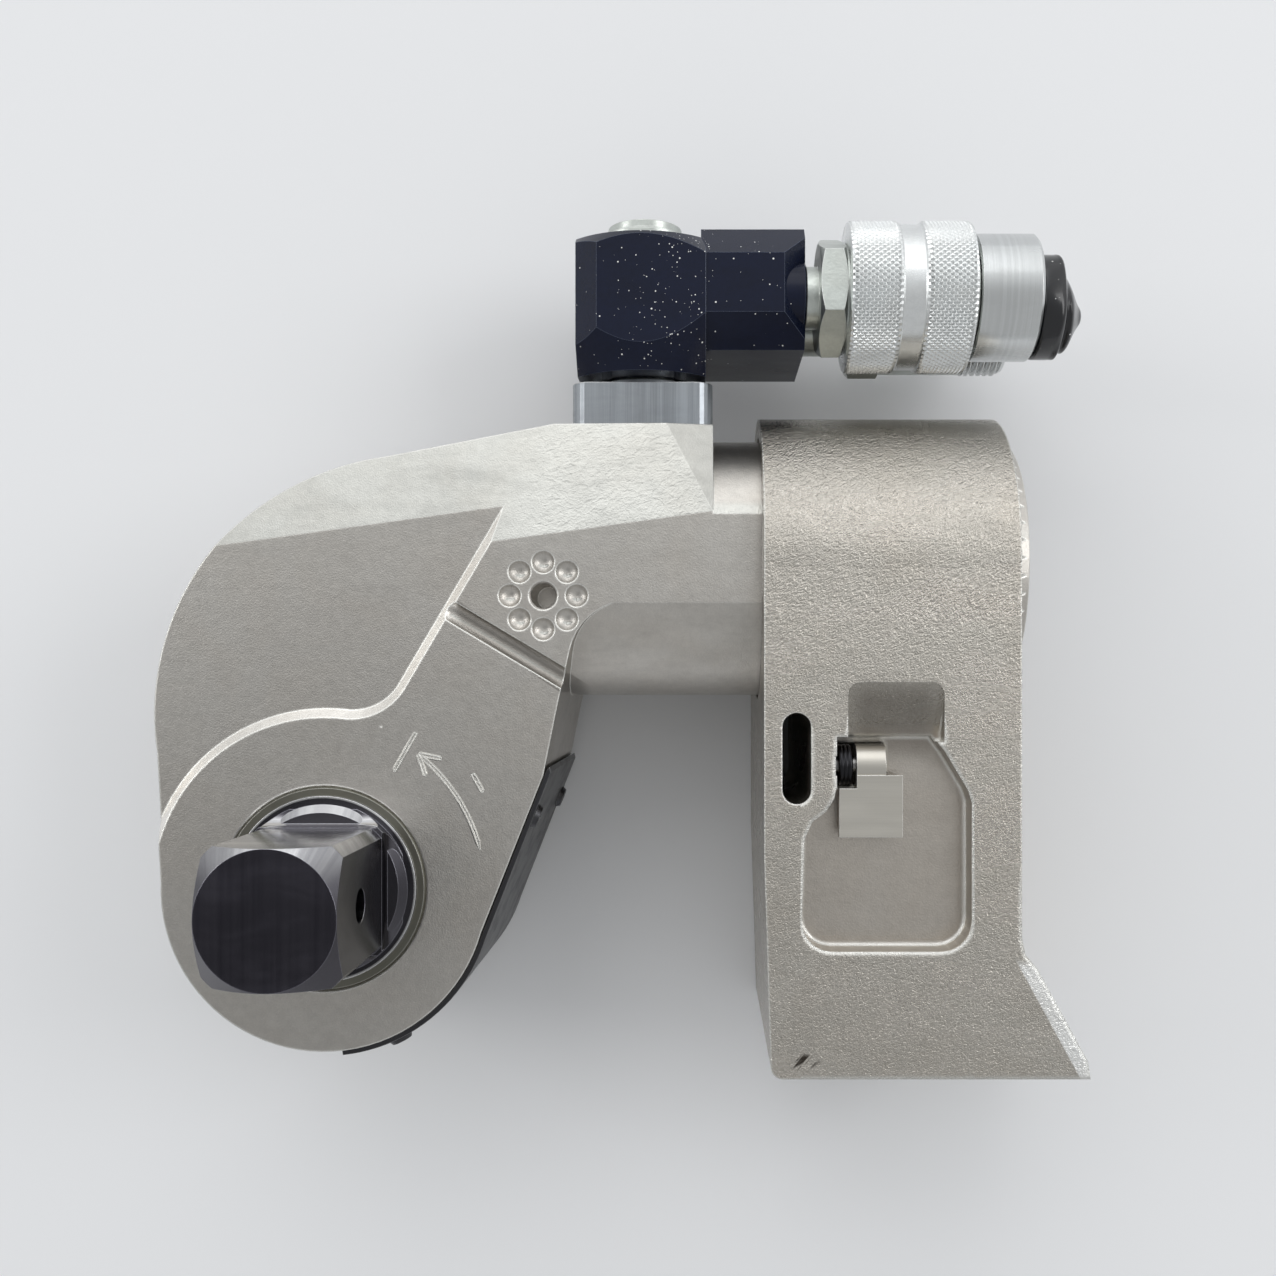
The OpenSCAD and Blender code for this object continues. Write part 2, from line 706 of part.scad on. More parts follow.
module at_post_seals() {
    for (s = groove_share) translate([post_x, block_y + s * block_h, mid_z]) rotate([-90, 0, 0]) children();
}

module swivel_post() {
    color("#c9cacb") difference() {
        union() {
            rod_y(post_x, base_y, mid_z, post_r, block_top_y + 2 * seal_r - base_y);
            rod_y(post_x, base_y, mid_z, post_head_r, post_top_y - base_y);
            rod_y(post_x, base_y - base_h * 0.75, mid_z, post_r * 0.9 - seat_gap, base_h);
        }
        at_post_seals() ring_z(0, post_r + over, post_r - seal_r, groove_w);
        rod_y(post_x, block_y, mid_z, post_r / 4, post_top_y);
        translate([post_x, block_top_y + free_gap, mid_z]) rotate([-90, 0, 0])
            ring_z(0, post_r + over, post_r - seal_r, 1.2 * seal_r);
        translate([post_x, post_top_y - 2 * seal_r, mid_z]) rotate([-90, 0, 0])
            cylinder(r = post_r / 2, h = post_r, $fn = 6);
    }
}

module post_seals() {
    color("#1d1d1f") at_post_seals()
        ring_z(side_gap / 2, post_r, post_r - seal_r + seat_gap, groove_w - side_gap);
}

// Open retaining ring that holds the block on the post
module post_ring() {
    color("#9fa0a3") translate([post_x, block_top_y + free_gap, mid_z]) rotate([-90, 0, 0]) difference() {
        ring_z(seat_gap, post_r + 0.9 * seal_r, post_r - seal_r + seat_gap, 1.2 * seal_r - 2 * seat_gap);
        translate([0, -post_r / 6, -over]) cube([2 * post_r, post_r / 3, 4 * over]);
    }
}

module piston_head() {
    color("#9a9b9e") difference() {
        rod_x(piston_x, cyl_y, mid_z, bore_r - run_gap, piston_len);
        ring_x(piston_x + piston_len * 0.4, cyl_y, mid_z, bore_r + over, bore_r - 1.5 * seal_r, piston_len / 5);
        rod_x(piston_x - over, cyl_y, mid_z, rod_r * 0.8 + seat_gap, piston_len + 2 * over);
    }
}

module piston_seal() {
    color("#1d1d1f") ring_x(piston_x + piston_len * 0.4 + side_gap / 2, cyl_y, mid_z,
        bore_r - run_gap, bore_r - 1.5 * seal_r + seat_gap, piston_len / 5 - side_gap);
}

// Rod with a flat tongue round its pin
module piston_rod() {
    pin_x = stroke / 2;
    color("#c8c9cb") difference() {
        union() {
            rod_x(pin_x + rod_r, cyl_y, mid_z, rod_r, piston_x - pin_x - rod_r);
            rod_x(piston_x - over, cyl_y, mid_z, rod_r * 0.8, piston_len + over - side_gap);
            intersection() {
                union() {
                    translate([pin_x, cyl_y, mid_z - tongue_t / 2]) cylinder(r = boss_r, h = tongue_t);
                    translate([pin_x, cyl_y - boss_r * inside_share, mid_z - tongue_t / 2])
                        cube([rod_r + over, 2 * boss_r * inside_share, tongue_t]);
                }
                translate([-over, 0, 0]) rod_x(pin_x - boss_r, cyl_y, mid_z, rod_r + 0.5 * side_gap, 2 * boss_r + rod_r);
            }
        }
        translate([pin_x, cyl_y, back_z]) cylinder(r = rod_pin_r + seat_gap, h = head_t);
    }
}

module rod_pin() {
    color("#7e7f83") translate([stroke / 2, cyl_y, plate_back_z + side_gap])
        cylinder(r = rod_pin_r, h = plate_front_z - plate_back_z - 2 * side_gap);
}

// Lever plate in its mid position, with a slot that lets the pin follow its arc
module lever_plate(z) {
    translate([0, 0, z]) difference() {
        union() {
            cylinder(r = lever_foot_r, h = plate_t);
            translate([0, pin_reach, 0]) cylinder(r = boss_r, h = plate_t);
            linear_extrude(plate_t) polygon(concat(
                scaled([[0.97, 0.1]], lever_foot_r), scaled([lever_side_shares[0]], lever_foot_r),
                [[boss_r * inside_share, pin_reach], [-boss_r * inside_share, pin_reach]],
                scaled([lever_side_shares[1]], lever_foot_r), scaled([[-0.97, 0.1]], lever_foot_r)));
        }
        translate([0, 0, -over]) cylinder(r = journal_r + run_gap, h = plate_t + 2 * over);
        for (dy = [-1, 1]) translate([0, pin_reach + dy * side_gap * 2, -over])
            cylinder(r = rod_pin_r + 0.5 * side_gap, h = plate_t + 2 * over);
        at_spacer_pins() translate([0, 0, -over])
            cylinder(r = spacer_pin_r + seat_gap, h = plate_t + 2 * over);
    }
}

// Turns the lever parts back from mid stroke to their rest position
module at_rest() {
    rotate([0, 0, -swing_a]) children();
}

module at_spacer_pins() {
    for (side = [-1, 1]) translate([side * spacer_pin_x, spacer_r + spacer_pin_rise, 0]) children();
}

module drive_plate_front() {
    color("#85868a") at_rest() lever_plate(plate_front_z - plate_t);
}

module drive_plate_back() {
    color("#85868a") at_rest() lever_plate(plate_back_z);
}

// Cross piece between the plates; it backs the pawl's springs
module lever_spacer() {
    color("#85868a") at_rest() difference() {
        translate([-spacer_w / 2, spacer_r, mid_z - ratchet_t / 2])
            cube([spacer_w, spacer_top_r - spacer_r, ratchet_t]);
        translate([0, 0, back_z]) at_spacer_pins() cylinder(r = spacer_pin_r + seat_gap, h = head_t);
        at_pawl_springs() cylinder(r = spring_r + free_gap, h = spring_seat_d);
    }
}

module spacer_pins() {
    color("#7e7f83") at_rest() translate([0, 0, plate_back_z]) at_spacer_pins()
        cylinder(r = spacer_pin_r, h = plate_front_z - plate_back_z);
}

// Pawl: a segment with teeth that fill the ratchet's gaps
module drive_pawl() {
    color("#6f7075") at_rest() translate([0, 0, mid_z - ratchet_t / 2]) difference() {
        intersection() {
            linear_extrude(ratchet_t) polygon([
                [0, 0], 2 * pawl_r * [sin(-pawl_span_a), cos(pawl_span_a)],
                2 * pawl_r * [sin(pawl_span_a), cos(pawl_span_a)]]);
            cylinder(r = pawl_r, h = ratchet_t);
            translate([-pawl_r, ratchet_r * 0.8, 0]) cube([2 * pawl_r, pawl_r, ratchet_t]);
        }
        translate([0, 0, -over]) linear_extrude(ratchet_t + 2 * over)
            offset_ratchet(tooth_gap);
    }
}

// Ratchet outline, grown by a gap
module offset_ratchet(gap) {
    rotate(90) polygon(toothed(ratchet_teeth, ratchet_r + gap, ratchet_d, 0.12 + gap / ratchet_r, 0.1));
}

// Two pawl springs, drawn as closed turns
spring_r = 2.6;
spring_wire_r = 0.5;
spring_turns = 4;
spring_seat_d = 6;
spring_x = 0;
spring_pitch = (spring_seat_d + 2 * side_gap + pawl_lift - 2 * spring_wire_r) / spring_turns;

module at_pawl_springs() {
    for (z = [-1, 1]) translate([spring_x, spacer_r, mid_z + z * ratchet_t / 4])
        rotate([-90, 0, 0]) children();
}

module pawl_spring() {
    color("#3a3b3f") at_rest() at_pawl_springs()
        for (i = [0 : spring_turns])
            translate([0, 0, spring_seat_d - spring_wire_r - side_gap / 2 - i * spring_pitch * 0.98])
                rotate_extrude($fn = 24) translate([spring_r - spring_wire_r, 0]) circle(r = spring_wire_r, $fn = 16);
}

// Ratchet wheel with a round journal on each side and a splined bore
module ratchet_wheel() {
    front_len = -shoulder_t - side_gap / 2 - (mid_z + ratchet_t / 2);
    color("#74757a") at_rest() difference() {
        union() {
            translate([0, 0, mid_z - ratchet_t / 2]) linear_extrude(ratchet_t) offset_ratchet(0);
            translate([0, 0, mid_z + ratchet_t / 2 - over]) cylinder(r = journal_r, h = front_len + over);
            translate([0, 0, back_z + wall_t / 3])
                cylinder(r = journal_r, h = mid_z - ratchet_t / 2 - back_z - wall_t / 3 + over);
        }
        translate([0, 0, back_z]) linear_extrude(head_t + over)
            polygon(toothed(spline_count_drive, drive_spline_r + tooth_gap, drive_spline_d, 0.2, 0.2));
    }
}

// Cap behind the ratchet that holds the drive's tail
cap_flange_t = 6.7;
cap_back_z = mid_z - sleeve_r;
button_r = 7;
button_travel = 2;
button_gap = 0.1;
button_sunk = 0.4;
button_edge = 0.6;

module retainer_cap() {
    stem_z = back_z + wall_t / 3 - side_gap / 2;
    color("#55565a") difference() {
        union() {
            translate([0, 0, back_z - side_gap]) cylinder(r = journal_r - run_gap, h = stem_z - back_z + side_gap);
            translate([0, 0, cap_back_z]) cylinder(r1 = journal_r - over, r2 = journal_r, h = over);
            translate([0, 0, cap_back_z + over])
                cylinder(r = journal_r, h = back_z - side_gap - cap_back_z - over);
        }
        translate([0, 0, cap_back_z - over]) cylinder(r = button_r + button_gap, h = cap_flange_t / 2 + over);
        translate([0, 0, cap_back_z]) cylinder(r = button_r / 2 + button_gap, h = head_t);
        for (i = [0 : 3]) rotate([0, 0, 45 + 90 * i]) translate([0.72 * journal_r, 0, cap_back_z - over])
            cylinder(r = button_r / 4, h = cap_flange_t / 2 + over);
    }
}

module release_button() {
    color("#a6a7aa") translate([0, 0, cap_back_z + button_sunk]) {
        cylinder(r1 = button_r - button_edge, r2 = button_r, h = button_edge);
        translate([0, 0, button_edge])
            cylinder(r = button_r, h = cap_flange_t / 2 - button_travel - button_edge);
        translate([0, 0, button_edge])
            cylinder(r = button_r / 2, h = back_z + wall_t / 3 - cap_back_z - button_edge);
    }
}

// Wave washer under the button, drawn as a dished ring
module button_spring() {
    color("#3a3b3f") translate([0, 0, cap_back_z + cap_flange_t / 2 - button_travel + button_sunk + button_gap])
        difference() {
            cylinder(r = button_r * 0.95, h = button_travel - button_edge);
            translate([0, 0, -over]) cylinder(r = button_r * 0.6, h = button_travel + 2 * over);
        }
}

// Square drive: splined shank, round shoulder, turned square with a coned end
module square_drive() {
    shank_end_z = back_z + wall_t / 3 + side_gap;
    tip_len = square_corner_r - square_tip_r;
    half = square_af / 2;
    root_far = 1.02 * root_r;
    color("#2f3034") difference() {
        union() {
            translate([0, 0, -shoulder_t]) cylinder(r = shoulder_r, h = shoulder_t);
            intersection() {
                translate([-half, -half, -over]) cube([square_af, square_af, square_len + over]);
                union() {
                    translate([0, 0, -over]) cylinder(r = square_corner_r, h = square_len - tip_len + over);
                    translate([0, 0, square_len - tip_len])
                        cylinder(r1 = square_corner_r, r2 = square_tip_r, h = tip_len);
                }
            }
            at_rest() translate([0, 0, shank_end_z]) linear_extrude(-shoulder_t - shank_end_z)
                polygon(toothed(spline_count_drive, drive_spline_r, drive_spline_d, 0.19, 0.21));
            translate([0, 0, -over / 2])
                cylinder(r1 = square_corner_r + over, r2 = square_corner_r - over, h = 2 * over);
            intersection() {
                translate([0, 0, -over]) cylinder(r = 0.93 * shoulder_r, h = root_r + over);
                for (i = [0 : 3]) rotate([0, 0, 90 * i]) difference() {
                    translate([half - over, -shoulder_r, -over])
                        cube([root_r + over, 2 * shoulder_r, root_r + over]);
                    translate([half + root_far, -2 * shoulder_r, root_far]) rotate([-90, 0, 0])
                        cylinder(r = root_r, h = 4 * shoulder_r);
                }
            }
        }
        translate([-square_af, 0, socket_pin_z]) rotate([0, 90, 0])
            cylinder(r = socket_pin_r, h = 2 * square_af);
        translate([0, 0, shank_end_z - over]) cylinder(r = button_r / 2 + side_gap, h = wall_t);
    }
}

// Arm seen from the front: sleeve side, straight sides, flared foot
module arm_outline() {
    polygon(concat(
        [[sleeve_x, cyl_y], [sleeve_x, foot_y / 5]],
        arc([sleeve_x + foot_draft + foot_corner_r, foot_corner_r - foot_y], foot_corner_r, 182, 270, 5),
        [[toe_x, -foot_y], flare_point(toe_shares), flare_point(knee_shares), flare_point(bend_shares),
         [sleeve_end_x, -0.24 * foot_y], [sleeve_end_x, cyl_y]]));
}

// Point on the flared side of the foot
function flare_point(shares) = [sleeve_end_x + shares[0] * foot_flare, -shares[1] * foot_y];

// Point in the pocket, from shares of its width and height
function pocket_points(shares) = [for (p = shares) [pocket_x + p[0] * pocket_w, pocket_y + p[1] * pocket_h]];

// Shallow pocket for the lock lever, narrower beside the lever
module pocket_cut() {
    r = pocket_corner_r;
    left_x = pocket_x + r;
    right_x = pocket_x + pocket_w - r;
    translate([0, 0, arm_front_z - pocket_d]) linear_extrude(pocket_d + over) polygon(concat(
        arc([left_x, pocket_y + r], r, 180, 270, 5), arc([right_x, pocket_y + r], r, 270, 360, 5),
        pocket_points(pocket_right_shares),
        [[pocket_x + 0.78 * pocket_w, ramp_low_y], [pocket_x + 0.2077 * pocket_w, ramp_low_y]],
        pocket_points(pocket_left_shares)));
}

// Tapering notch above the pocket, where the fingertip starts
module ramp_cut() {
    r = ramp_corner_r;
    rise = (ramp_d - ramp_edge_d) / (ramp_top_y - ramp_low_y);
    intersection() {
        translate([0, 0, arm_front_z - pocket_d]) linear_extrude(pocket_d + over) polygon(concat(
            [[ramp_x, ramp_low_y - over], [ramp_x + ramp_w, ramp_low_y - over]],
            arc([ramp_x + ramp_w - r, ramp_top_y - r], r, 0, 90, 5),
            arc([ramp_x + r, ramp_top_y - r], r, 90, 180, 5)));
        translate([pocket_x, 0, arm_front_z]) rotate([90, 0, 90]) linear_extrude(pocket_w) polygon([
            [ramp_low_y - 2 * over, -ramp_d - 2 * over * rise], [ramp_top_y + over, over * rise - ramp_edge_d],
            [ramp_top_y + over, 2 * over], [ramp_low_y - 2 * over, 2 * over]]);
    }
}

// Puts the children on the plunger's axis: Z runs outwards from the cylinder axis
module at_plunger() {
    translate([knuckle_x + knuckle_w / 2, cyl_y, mid_z]) rotate([plunger_a - 90, 0, 0]) children();
}

module reaction_arm() {
    color("#aeadaa") difference() {
        union() {
            rod_x(sleeve_x, cyl_y, mid_z, sleeve_r, sleeve_len);
            translate([0, 0, mid_z - arm_half_t]) linear_extrude(2 * arm_half_t) arm_outline();
        }
        translate([sleeve_x - over, cyl_y, mid_z]) rotate([90, 0, 90]) linear_extrude(sleeve_len + 2 * over)
            polygon(toothed(spline_count, spline_r + tooth_gap, spline_d, 0.29, 0.01));
        rod_x(sleeve_x - over, cyl_y, mid_z, spline_r + 1.5 * tooth_gap, spline_lip + over);
        rod_x(sleeve_end_x - over, cyl_y, mid_z, spline_r + 1.5 * tooth_gap, 2 * over);
        for (dy = [-1, 1]) translate([slot_x, slot_y + dy * (slot_len - slot_w) / 2, mid_z - sleeve_r])
            cylinder(r = slot_w / 2, h = 2 * sleeve_r);
        translate([slot_x - slot_w / 2, slot_y - (slot_len - slot_w) / 2, mid_z - sleeve_r])
            cube([slot_w, slot_len - slot_w, 2 * sleeve_r]);
        pocket_cut();
        ramp_cut();
        rod_x(knuckle_x - spring_space, pivot_y, pivot_z, knuckle_r + knuckle_gap,
              spring_space + knuckle_w + side_gap);
        rod_x(knuckle_x - spring_space - pivot_seat, pivot_y, pivot_z, pivot_r + seat_gap, spring_space + pivot_seat);
        at_plunger() cylinder(r = plunger_r + run_gap, h = spline_r + plunger_len + plunger_free);
        foot_bevel();
        translate([0, 0, 2 * mid_z]) mirror([0, 0, 1]) foot_bevel();
    }
}

// Chamfer along the flared side of the foot
module foot_bevel() {
    toe = flare_point(toe_shares);
    knee = flare_point(knee_shares);
    run = toe - knee;
    translate([knee[0], knee[1], arm_front_z - foot_bevel_d]) rotate([0, 0, atan2(run[1], run[0])])
        rotate([-50, 0, 0]) translate([-0.2 * foot_y, 0, 0]) cube([2 * foot_y, 0.2 * foot_y, 0.2 * foot_y]);
}

// Sprung lever: knuckle on its pin, stepped thumb plate, finger under the plunger's head
module lock_lever() {
    plate_x = knuckle_x - lever_side;
    plate_z = pivot_z + knuckle_r - lever_t - lever_sunk;
    color("#a3a19b") difference() {
        union() {
            rod_x(knuckle_x, pivot_y, pivot_z, knuckle_r, knuckle_w);
            translate([plate_x, pivot_y - lever_len - lever_drop, plate_z]) cube([lever_w, lever_len, lever_t]);
            translate([knuckle_x + over / 2, pivot_y - 0.8 * knuckle_r, plate_z - over / 2])
                cube([knuckle_w - over, 0.8 * knuckle_r, lever_t]);
        }
        rod_x(knuckle_x - over, pivot_y, pivot_z, pivot_r + run_gap, knuckle_w - side_gap);
        translate([plate_x - over, pivot_y - knuckle_r - side_gap, pivot_z])
            cube([knuckle_x - plate_x + over, 2 * knuckle_r, 2 * knuckle_r]);
    }
}

module lever_pin() {
    color("#7e7f83") rod_x(knuckle_x - spring_space - pivot_seat, pivot_y, pivot_z, pivot_r,
        spring_space + pivot_seat + knuckle_w - over - 2 * side_gap);
}

// Torsion spring beside the knuckle, drawn as closed turns
module lever_spring() {
    color("#222224") for (i = [0 : lever_turns - 1])
        translate([knuckle_x - spring_side - lever_wire_r - i * 2.05 * lever_wire_r, pivot_y, pivot_z])
            rotate([0, 90, 0]) rotate_extrude($fn = 48)
                translate([knuckle_r - run_gap - lever_wire_r, 0]) circle(r = lever_wire_r, $fn = 16);
}

// Pointed plunger that locks the sleeve in a spline groove
module lock_plunger() {
    tip_r = spline_r - tip_depth;
    color("#7e7f83") at_plunger() {
        translate([0, 0, tip_r]) cylinder(r1 = 0, r2 = plunger_r, h = 1.7 * plunger_r);
        translate([0, 0, tip_r + 1.7 * plunger_r]) cylinder(r = plunger_r, h = plunger_len - 1.7 * plunger_r);
    }
}

// Block that turns on the post: coned hub and chamfered arm with two ports
module swivel_block() {
    half = block_w / 2;
    far = half - arm_sunk;
    color("#17181b") difference() {
        union() {
            intersection() {
                translate([post_x, block_y, mid_z]) rotate([-90, 0, 0]) rotate_extrude()
                    polygon([for (p = hub_shares) [p[0] * half, p[1] * block_h]]);
                translate([0, block_y - over, mid_z]) rotate([-90, 0, 0]) linear_extrude(block_h + 2 * over) polygon([
                    [block_x, half - hub_edge], [block_x + hub_edge, half], [hub_x, half],
                    [hub_x, -half], [block_x + hub_edge, -half], [block_x, hub_edge - half]]);
            }
            intersection() {
                translate([hub_x - over, block_y, mid_z]) rotate([90, 0, 90])
                    linear_extrude(block_end_x - hub_x + over) polygon(concat(
                        [for (p = arm_shares) [p[0] * block_h, -p[1] * far]],
                        [for (i = [3 : -1 : 0]) [arm_shares[i][0] * block_h, arm_shares[i][1] * far]]));
                translate([0, block_y, mid_z]) rotate([-90, 0, 0]) linear_extrude(block_h + over) polygon([
                    [post_x, block_w], [block_end_x - arm_edge, block_w], [block_end_x - arm_edge, far],
                    [block_end_x, far - arm_edge], [block_end_x, arm_edge - far],
                    [block_end_x - arm_edge, -far], [block_end_x - arm_edge, -block_w], [post_x, -block_w]]);
            }
        }
        rod_y(post_x, block_y - over, mid_z, post_r + run_gap, block_h + 2 * over);
        for (z = [front_port_z, rear_port_z])
            rod_x(block_end_x - port_depth - over, port_y, z, port_r, port_depth + 2 * over);
    }
}

// Hexagon with coned corners along X
module hex_nut(x, z, af, len, turn_a) {
    r = af / sqrt(3);
    translate([x, port_y, z]) rotate([0, 90, 0]) intersection() {
        rotate([0, 0, turn_a]) cylinder(r = r, h = len, $fn = 6);
        union() {
            cylinder(r1 = af / 2, r2 = af / 2 + len, h = len / 2);
            translate([0, 0, len / 2]) cylinder(r1 = af / 2 + len, r2 = af / 2, h = len / 2);
        }
    }
}

module front_fitting() {
    color("#b9bbbd") difference() {
        union() {
            rod_x(block_end_x - port_depth, port_y, front_port_z, port_r - seat_gap, port_depth + over);
            rod_x(block_end_x + nipple_gap, port_y, front_port_z, nipple_r, nipple_len + over);
            hex_nut(hex_x, front_port_z, hex_af, hex_len - side_gap, hex_turn_a);
            rod_x(hex_x + over, port_y, front_port_z, body_r, nose_x - hex_x - over - side_gap / 2);
        }
        rod_x(collar_x + bore_step, port_y, front_port_z, stem_r, 2 * collar_len);
    }
}

// Collar with two bands for knurling and a plain groove between them
module front_collar() {
    color("#c6c8ca") difference() {
        union() {
            rod_x(collar_x + band_rise, port_y, front_port_z, collar_r - band_rise, collar_len - 2 * band_rise);
            for (x = [collar_x, collar_x + collar_len - band_len])
                translate([x, port_y, front_port_z]) rotate([0, 90, 0]) {
                    cylinder(r1 = collar_r - collar_edge, r2 = collar_r, h = collar_edge);
                    translate([0, 0, collar_edge]) cylinder(r = collar_r, h = band_len - 2 * collar_edge);
                    translate([0, 0, band_len - collar_edge])
                        cylinder(r1 = collar_r, r2 = collar_r - collar_edge, h = collar_edge);
                }
        }
        rod_x(collar_x - over, port_y, front_port_z, body_r + run_gap, collar_len + 2 * over);
    }
}

// Plain nose of the front coupling, open for its plug
module front_nose() {
    color("#c6c8ca") difference() {
        union() {
            rod_x(nose_x, port_y, front_port_z, nose_tube_r, nose_len - nose_edge);
            translate([nose_x + nose_len - nose_edge, port_y, front_port_z]) rotate([0, 90, 0])
                cylinder(r1 = nose_tube_r, r2 = nose_tube_r - nose_edge, h = nose_edge);
            rod_x(nose_x - stem_len, port_y, front_port_z, stem_r - seat_gap, stem_len + over);
        }
        rod_x(nose_x + nose_floor, port_y, front_port_z, plug_stem_r + free_gap, nose_len);
    }
}

// Soft plug: a stem in the nose and a domed, waisted head
module dust_plug() {
    x = nose_x + nose_len + side_gap;
    color("#0e0e10") translate([x, port_y, front_port_z]) rotate([0, 90, 0]) {
        translate([0, 0, -plug_stem_len - side_gap]) cylinder(r = plug_stem_r, h = plug_stem_len + side_gap + over);
        rotate_extrude() polygon(concat([[0, 0]], scaled(plug_shares, plug_r)));
    }
}

module rear_fitting() {
    color("#b9bbbd") difference() {
        union() {
            rod_x(block_end_x - port_depth, port_y, rear_port_z, rear_nipple_r - seat_gap,
                  rear_hex_x - block_end_x + port_depth + over);
            hex_nut(rear_hex_x, rear_port_z, rear_hex_af, rear_hex_len, 30);
            rod_x(rear_hex_x + over, port_y, rear_port_z, rear_body_r, rear_nose_x - rear_hex_x - over);
        }
        rod_x(rear_nose_x - rear_stem_len - 2 * over, port_y, rear_port_z, rear_stem_r, rear_stem_len + 3 * over);
    }
}

// Threaded nose with an open mouth; the thread is drawn as ring grooves
module rear_nose() {
    ridge = rear_nose_len / (thread_count + 3);
    color("#b9bbbd") difference() {
        union() {
            rod_x(rear_nose_x + seat_gap, port_y, rear_port_z, thread_r, rear_nose_len);
            rod_x(rear_nose_x - rear_stem_len, port_y, rear_port_z, rear_stem_r - seat_gap, rear_stem_len + over);
        }
        rod_x(rear_nose_x - rear_bore_step, port_y, rear_port_z, rear_bore_r, rear_nose_len + rear_bore_step + over);
        for (i = [1 : thread_count])
            translate([rear_nose_x + (i + 0.5) * ridge, port_y, rear_port_z]) rotate([0, 90, 0]) rotate_extrude()
                polygon([[thread_r - 0.5 * ridge, 0], [thread_r + ridge, -ridge], [thread_r + ridge, ridge]]);
    }
}

module rear_poppet() {
    color("#8f9094") translate([rear_nose_x - rear_bore_step, port_y, rear_port_z]) rotate([0, 90, 0]) {
        cylinder(r = rear_bore_r - seat_gap, h = poppet_foot);
        translate([0, 0, poppet_foot - over]) cylinder(r = poppet_r, h = rear_nose_len - over);
        translate([0, 0, rear_nose_len + poppet_foot - 2 * over]) sphere(r = poppet_r * inside_share);
    }
}

housing();
front_bush();
rear_bush();
shroud();
shroud_screws();
rod_gland();
rod_seal();
end_cap();
cap_seal();
swivel_base();
base_screws();
swivel_post();
post_seals();
post_ring();
piston_head();
piston_seal();
piston_rod();
rod_pin();
drive_plate_front();
drive_plate_back();
lever_spacer();
spacer_pins();
drive_pawl();
pawl_spring();
ratchet_wheel();
retainer_cap();
square_drive();
release_button();
button_spring();
reaction_arm();
lock_lever();
lever_pin();
lever_spring();
lock_plunger();
swivel_block();
front_fitting();
rear_fitting();
rear_nose();
rear_poppet();
front_collar();
front_nose();
dust_plug();
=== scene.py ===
"""Looks of a hydraulic torque wrench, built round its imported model.

Lengths are in metres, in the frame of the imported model: the drive turns about Z
and points at the camera, the cylinder runs along X and the hose swivel stands up
along Y. The shoulder of the drive lies at Z = 0.
"""

import json
import logging
import math
from collections.abc import Callable, Sequence
from dataclasses import dataclass, field
from enum import Enum

import bpy
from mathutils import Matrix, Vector

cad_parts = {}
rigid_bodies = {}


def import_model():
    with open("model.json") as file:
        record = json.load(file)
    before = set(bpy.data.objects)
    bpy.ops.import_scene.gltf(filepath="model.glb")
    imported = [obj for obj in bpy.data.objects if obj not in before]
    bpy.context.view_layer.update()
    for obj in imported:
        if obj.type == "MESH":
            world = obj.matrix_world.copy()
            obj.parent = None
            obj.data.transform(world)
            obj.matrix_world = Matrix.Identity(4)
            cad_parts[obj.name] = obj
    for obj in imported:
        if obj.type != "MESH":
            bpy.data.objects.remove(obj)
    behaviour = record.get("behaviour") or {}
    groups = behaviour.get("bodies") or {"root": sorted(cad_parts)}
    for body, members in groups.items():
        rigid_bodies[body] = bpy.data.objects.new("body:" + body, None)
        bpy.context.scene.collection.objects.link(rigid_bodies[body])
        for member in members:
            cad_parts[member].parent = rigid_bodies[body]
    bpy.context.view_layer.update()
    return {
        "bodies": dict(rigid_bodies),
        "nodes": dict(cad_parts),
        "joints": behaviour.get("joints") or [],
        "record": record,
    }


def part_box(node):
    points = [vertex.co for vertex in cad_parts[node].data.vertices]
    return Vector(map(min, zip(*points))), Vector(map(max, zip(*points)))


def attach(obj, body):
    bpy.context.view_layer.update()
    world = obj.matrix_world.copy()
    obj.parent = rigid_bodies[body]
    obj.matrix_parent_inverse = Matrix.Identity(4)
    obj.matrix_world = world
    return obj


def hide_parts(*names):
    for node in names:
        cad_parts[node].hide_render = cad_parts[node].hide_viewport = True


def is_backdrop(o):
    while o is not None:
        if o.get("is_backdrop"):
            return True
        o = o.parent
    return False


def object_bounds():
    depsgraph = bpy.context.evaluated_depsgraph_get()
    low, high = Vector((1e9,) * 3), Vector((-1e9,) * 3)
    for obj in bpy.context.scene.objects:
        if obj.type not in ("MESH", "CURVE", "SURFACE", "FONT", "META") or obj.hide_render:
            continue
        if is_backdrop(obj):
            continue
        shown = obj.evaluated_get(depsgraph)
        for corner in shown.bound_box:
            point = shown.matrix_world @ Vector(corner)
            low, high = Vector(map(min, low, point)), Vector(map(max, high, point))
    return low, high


MM = 0.001
LOG = logging.getLogger("wrench")

Point = tuple[float, float, float]
Flat = tuple[float, float]
Colour = tuple[float, float, float]
Socket = bpy.types.NodeSocket


class Slot(Enum):
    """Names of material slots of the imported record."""

    HEAD = "head_steel"
    BRIGHT = "bright_steel"
    ANODISED = "black_anodised"
    PLUG = "plug_rubber"
    SPRING = "spring_steel"


class Lines(Enum):
    """Directions in which a tool has left its lines."""

    NONE = "none"
    ALONG_X = "along x"
    ALONG_Y = "along y"
    ROUND_X = "round x"
    ROUND_Z = "round z"


def linear(red: float, green: float, blue: float) -> Colour:
    """Turns a colour as seen on a screen, each part from 0 to 1, into light values.

    Args:
        red: Red part.
        green: Green part.
        blue: Blue part.

    Returns:
        The three light values.
    """
    return tuple(
        part / 12.92 if part <= 0.04045 else ((part + 0.055) / 1.055) ** 2.4
        for part in (red, green, blue)
    )


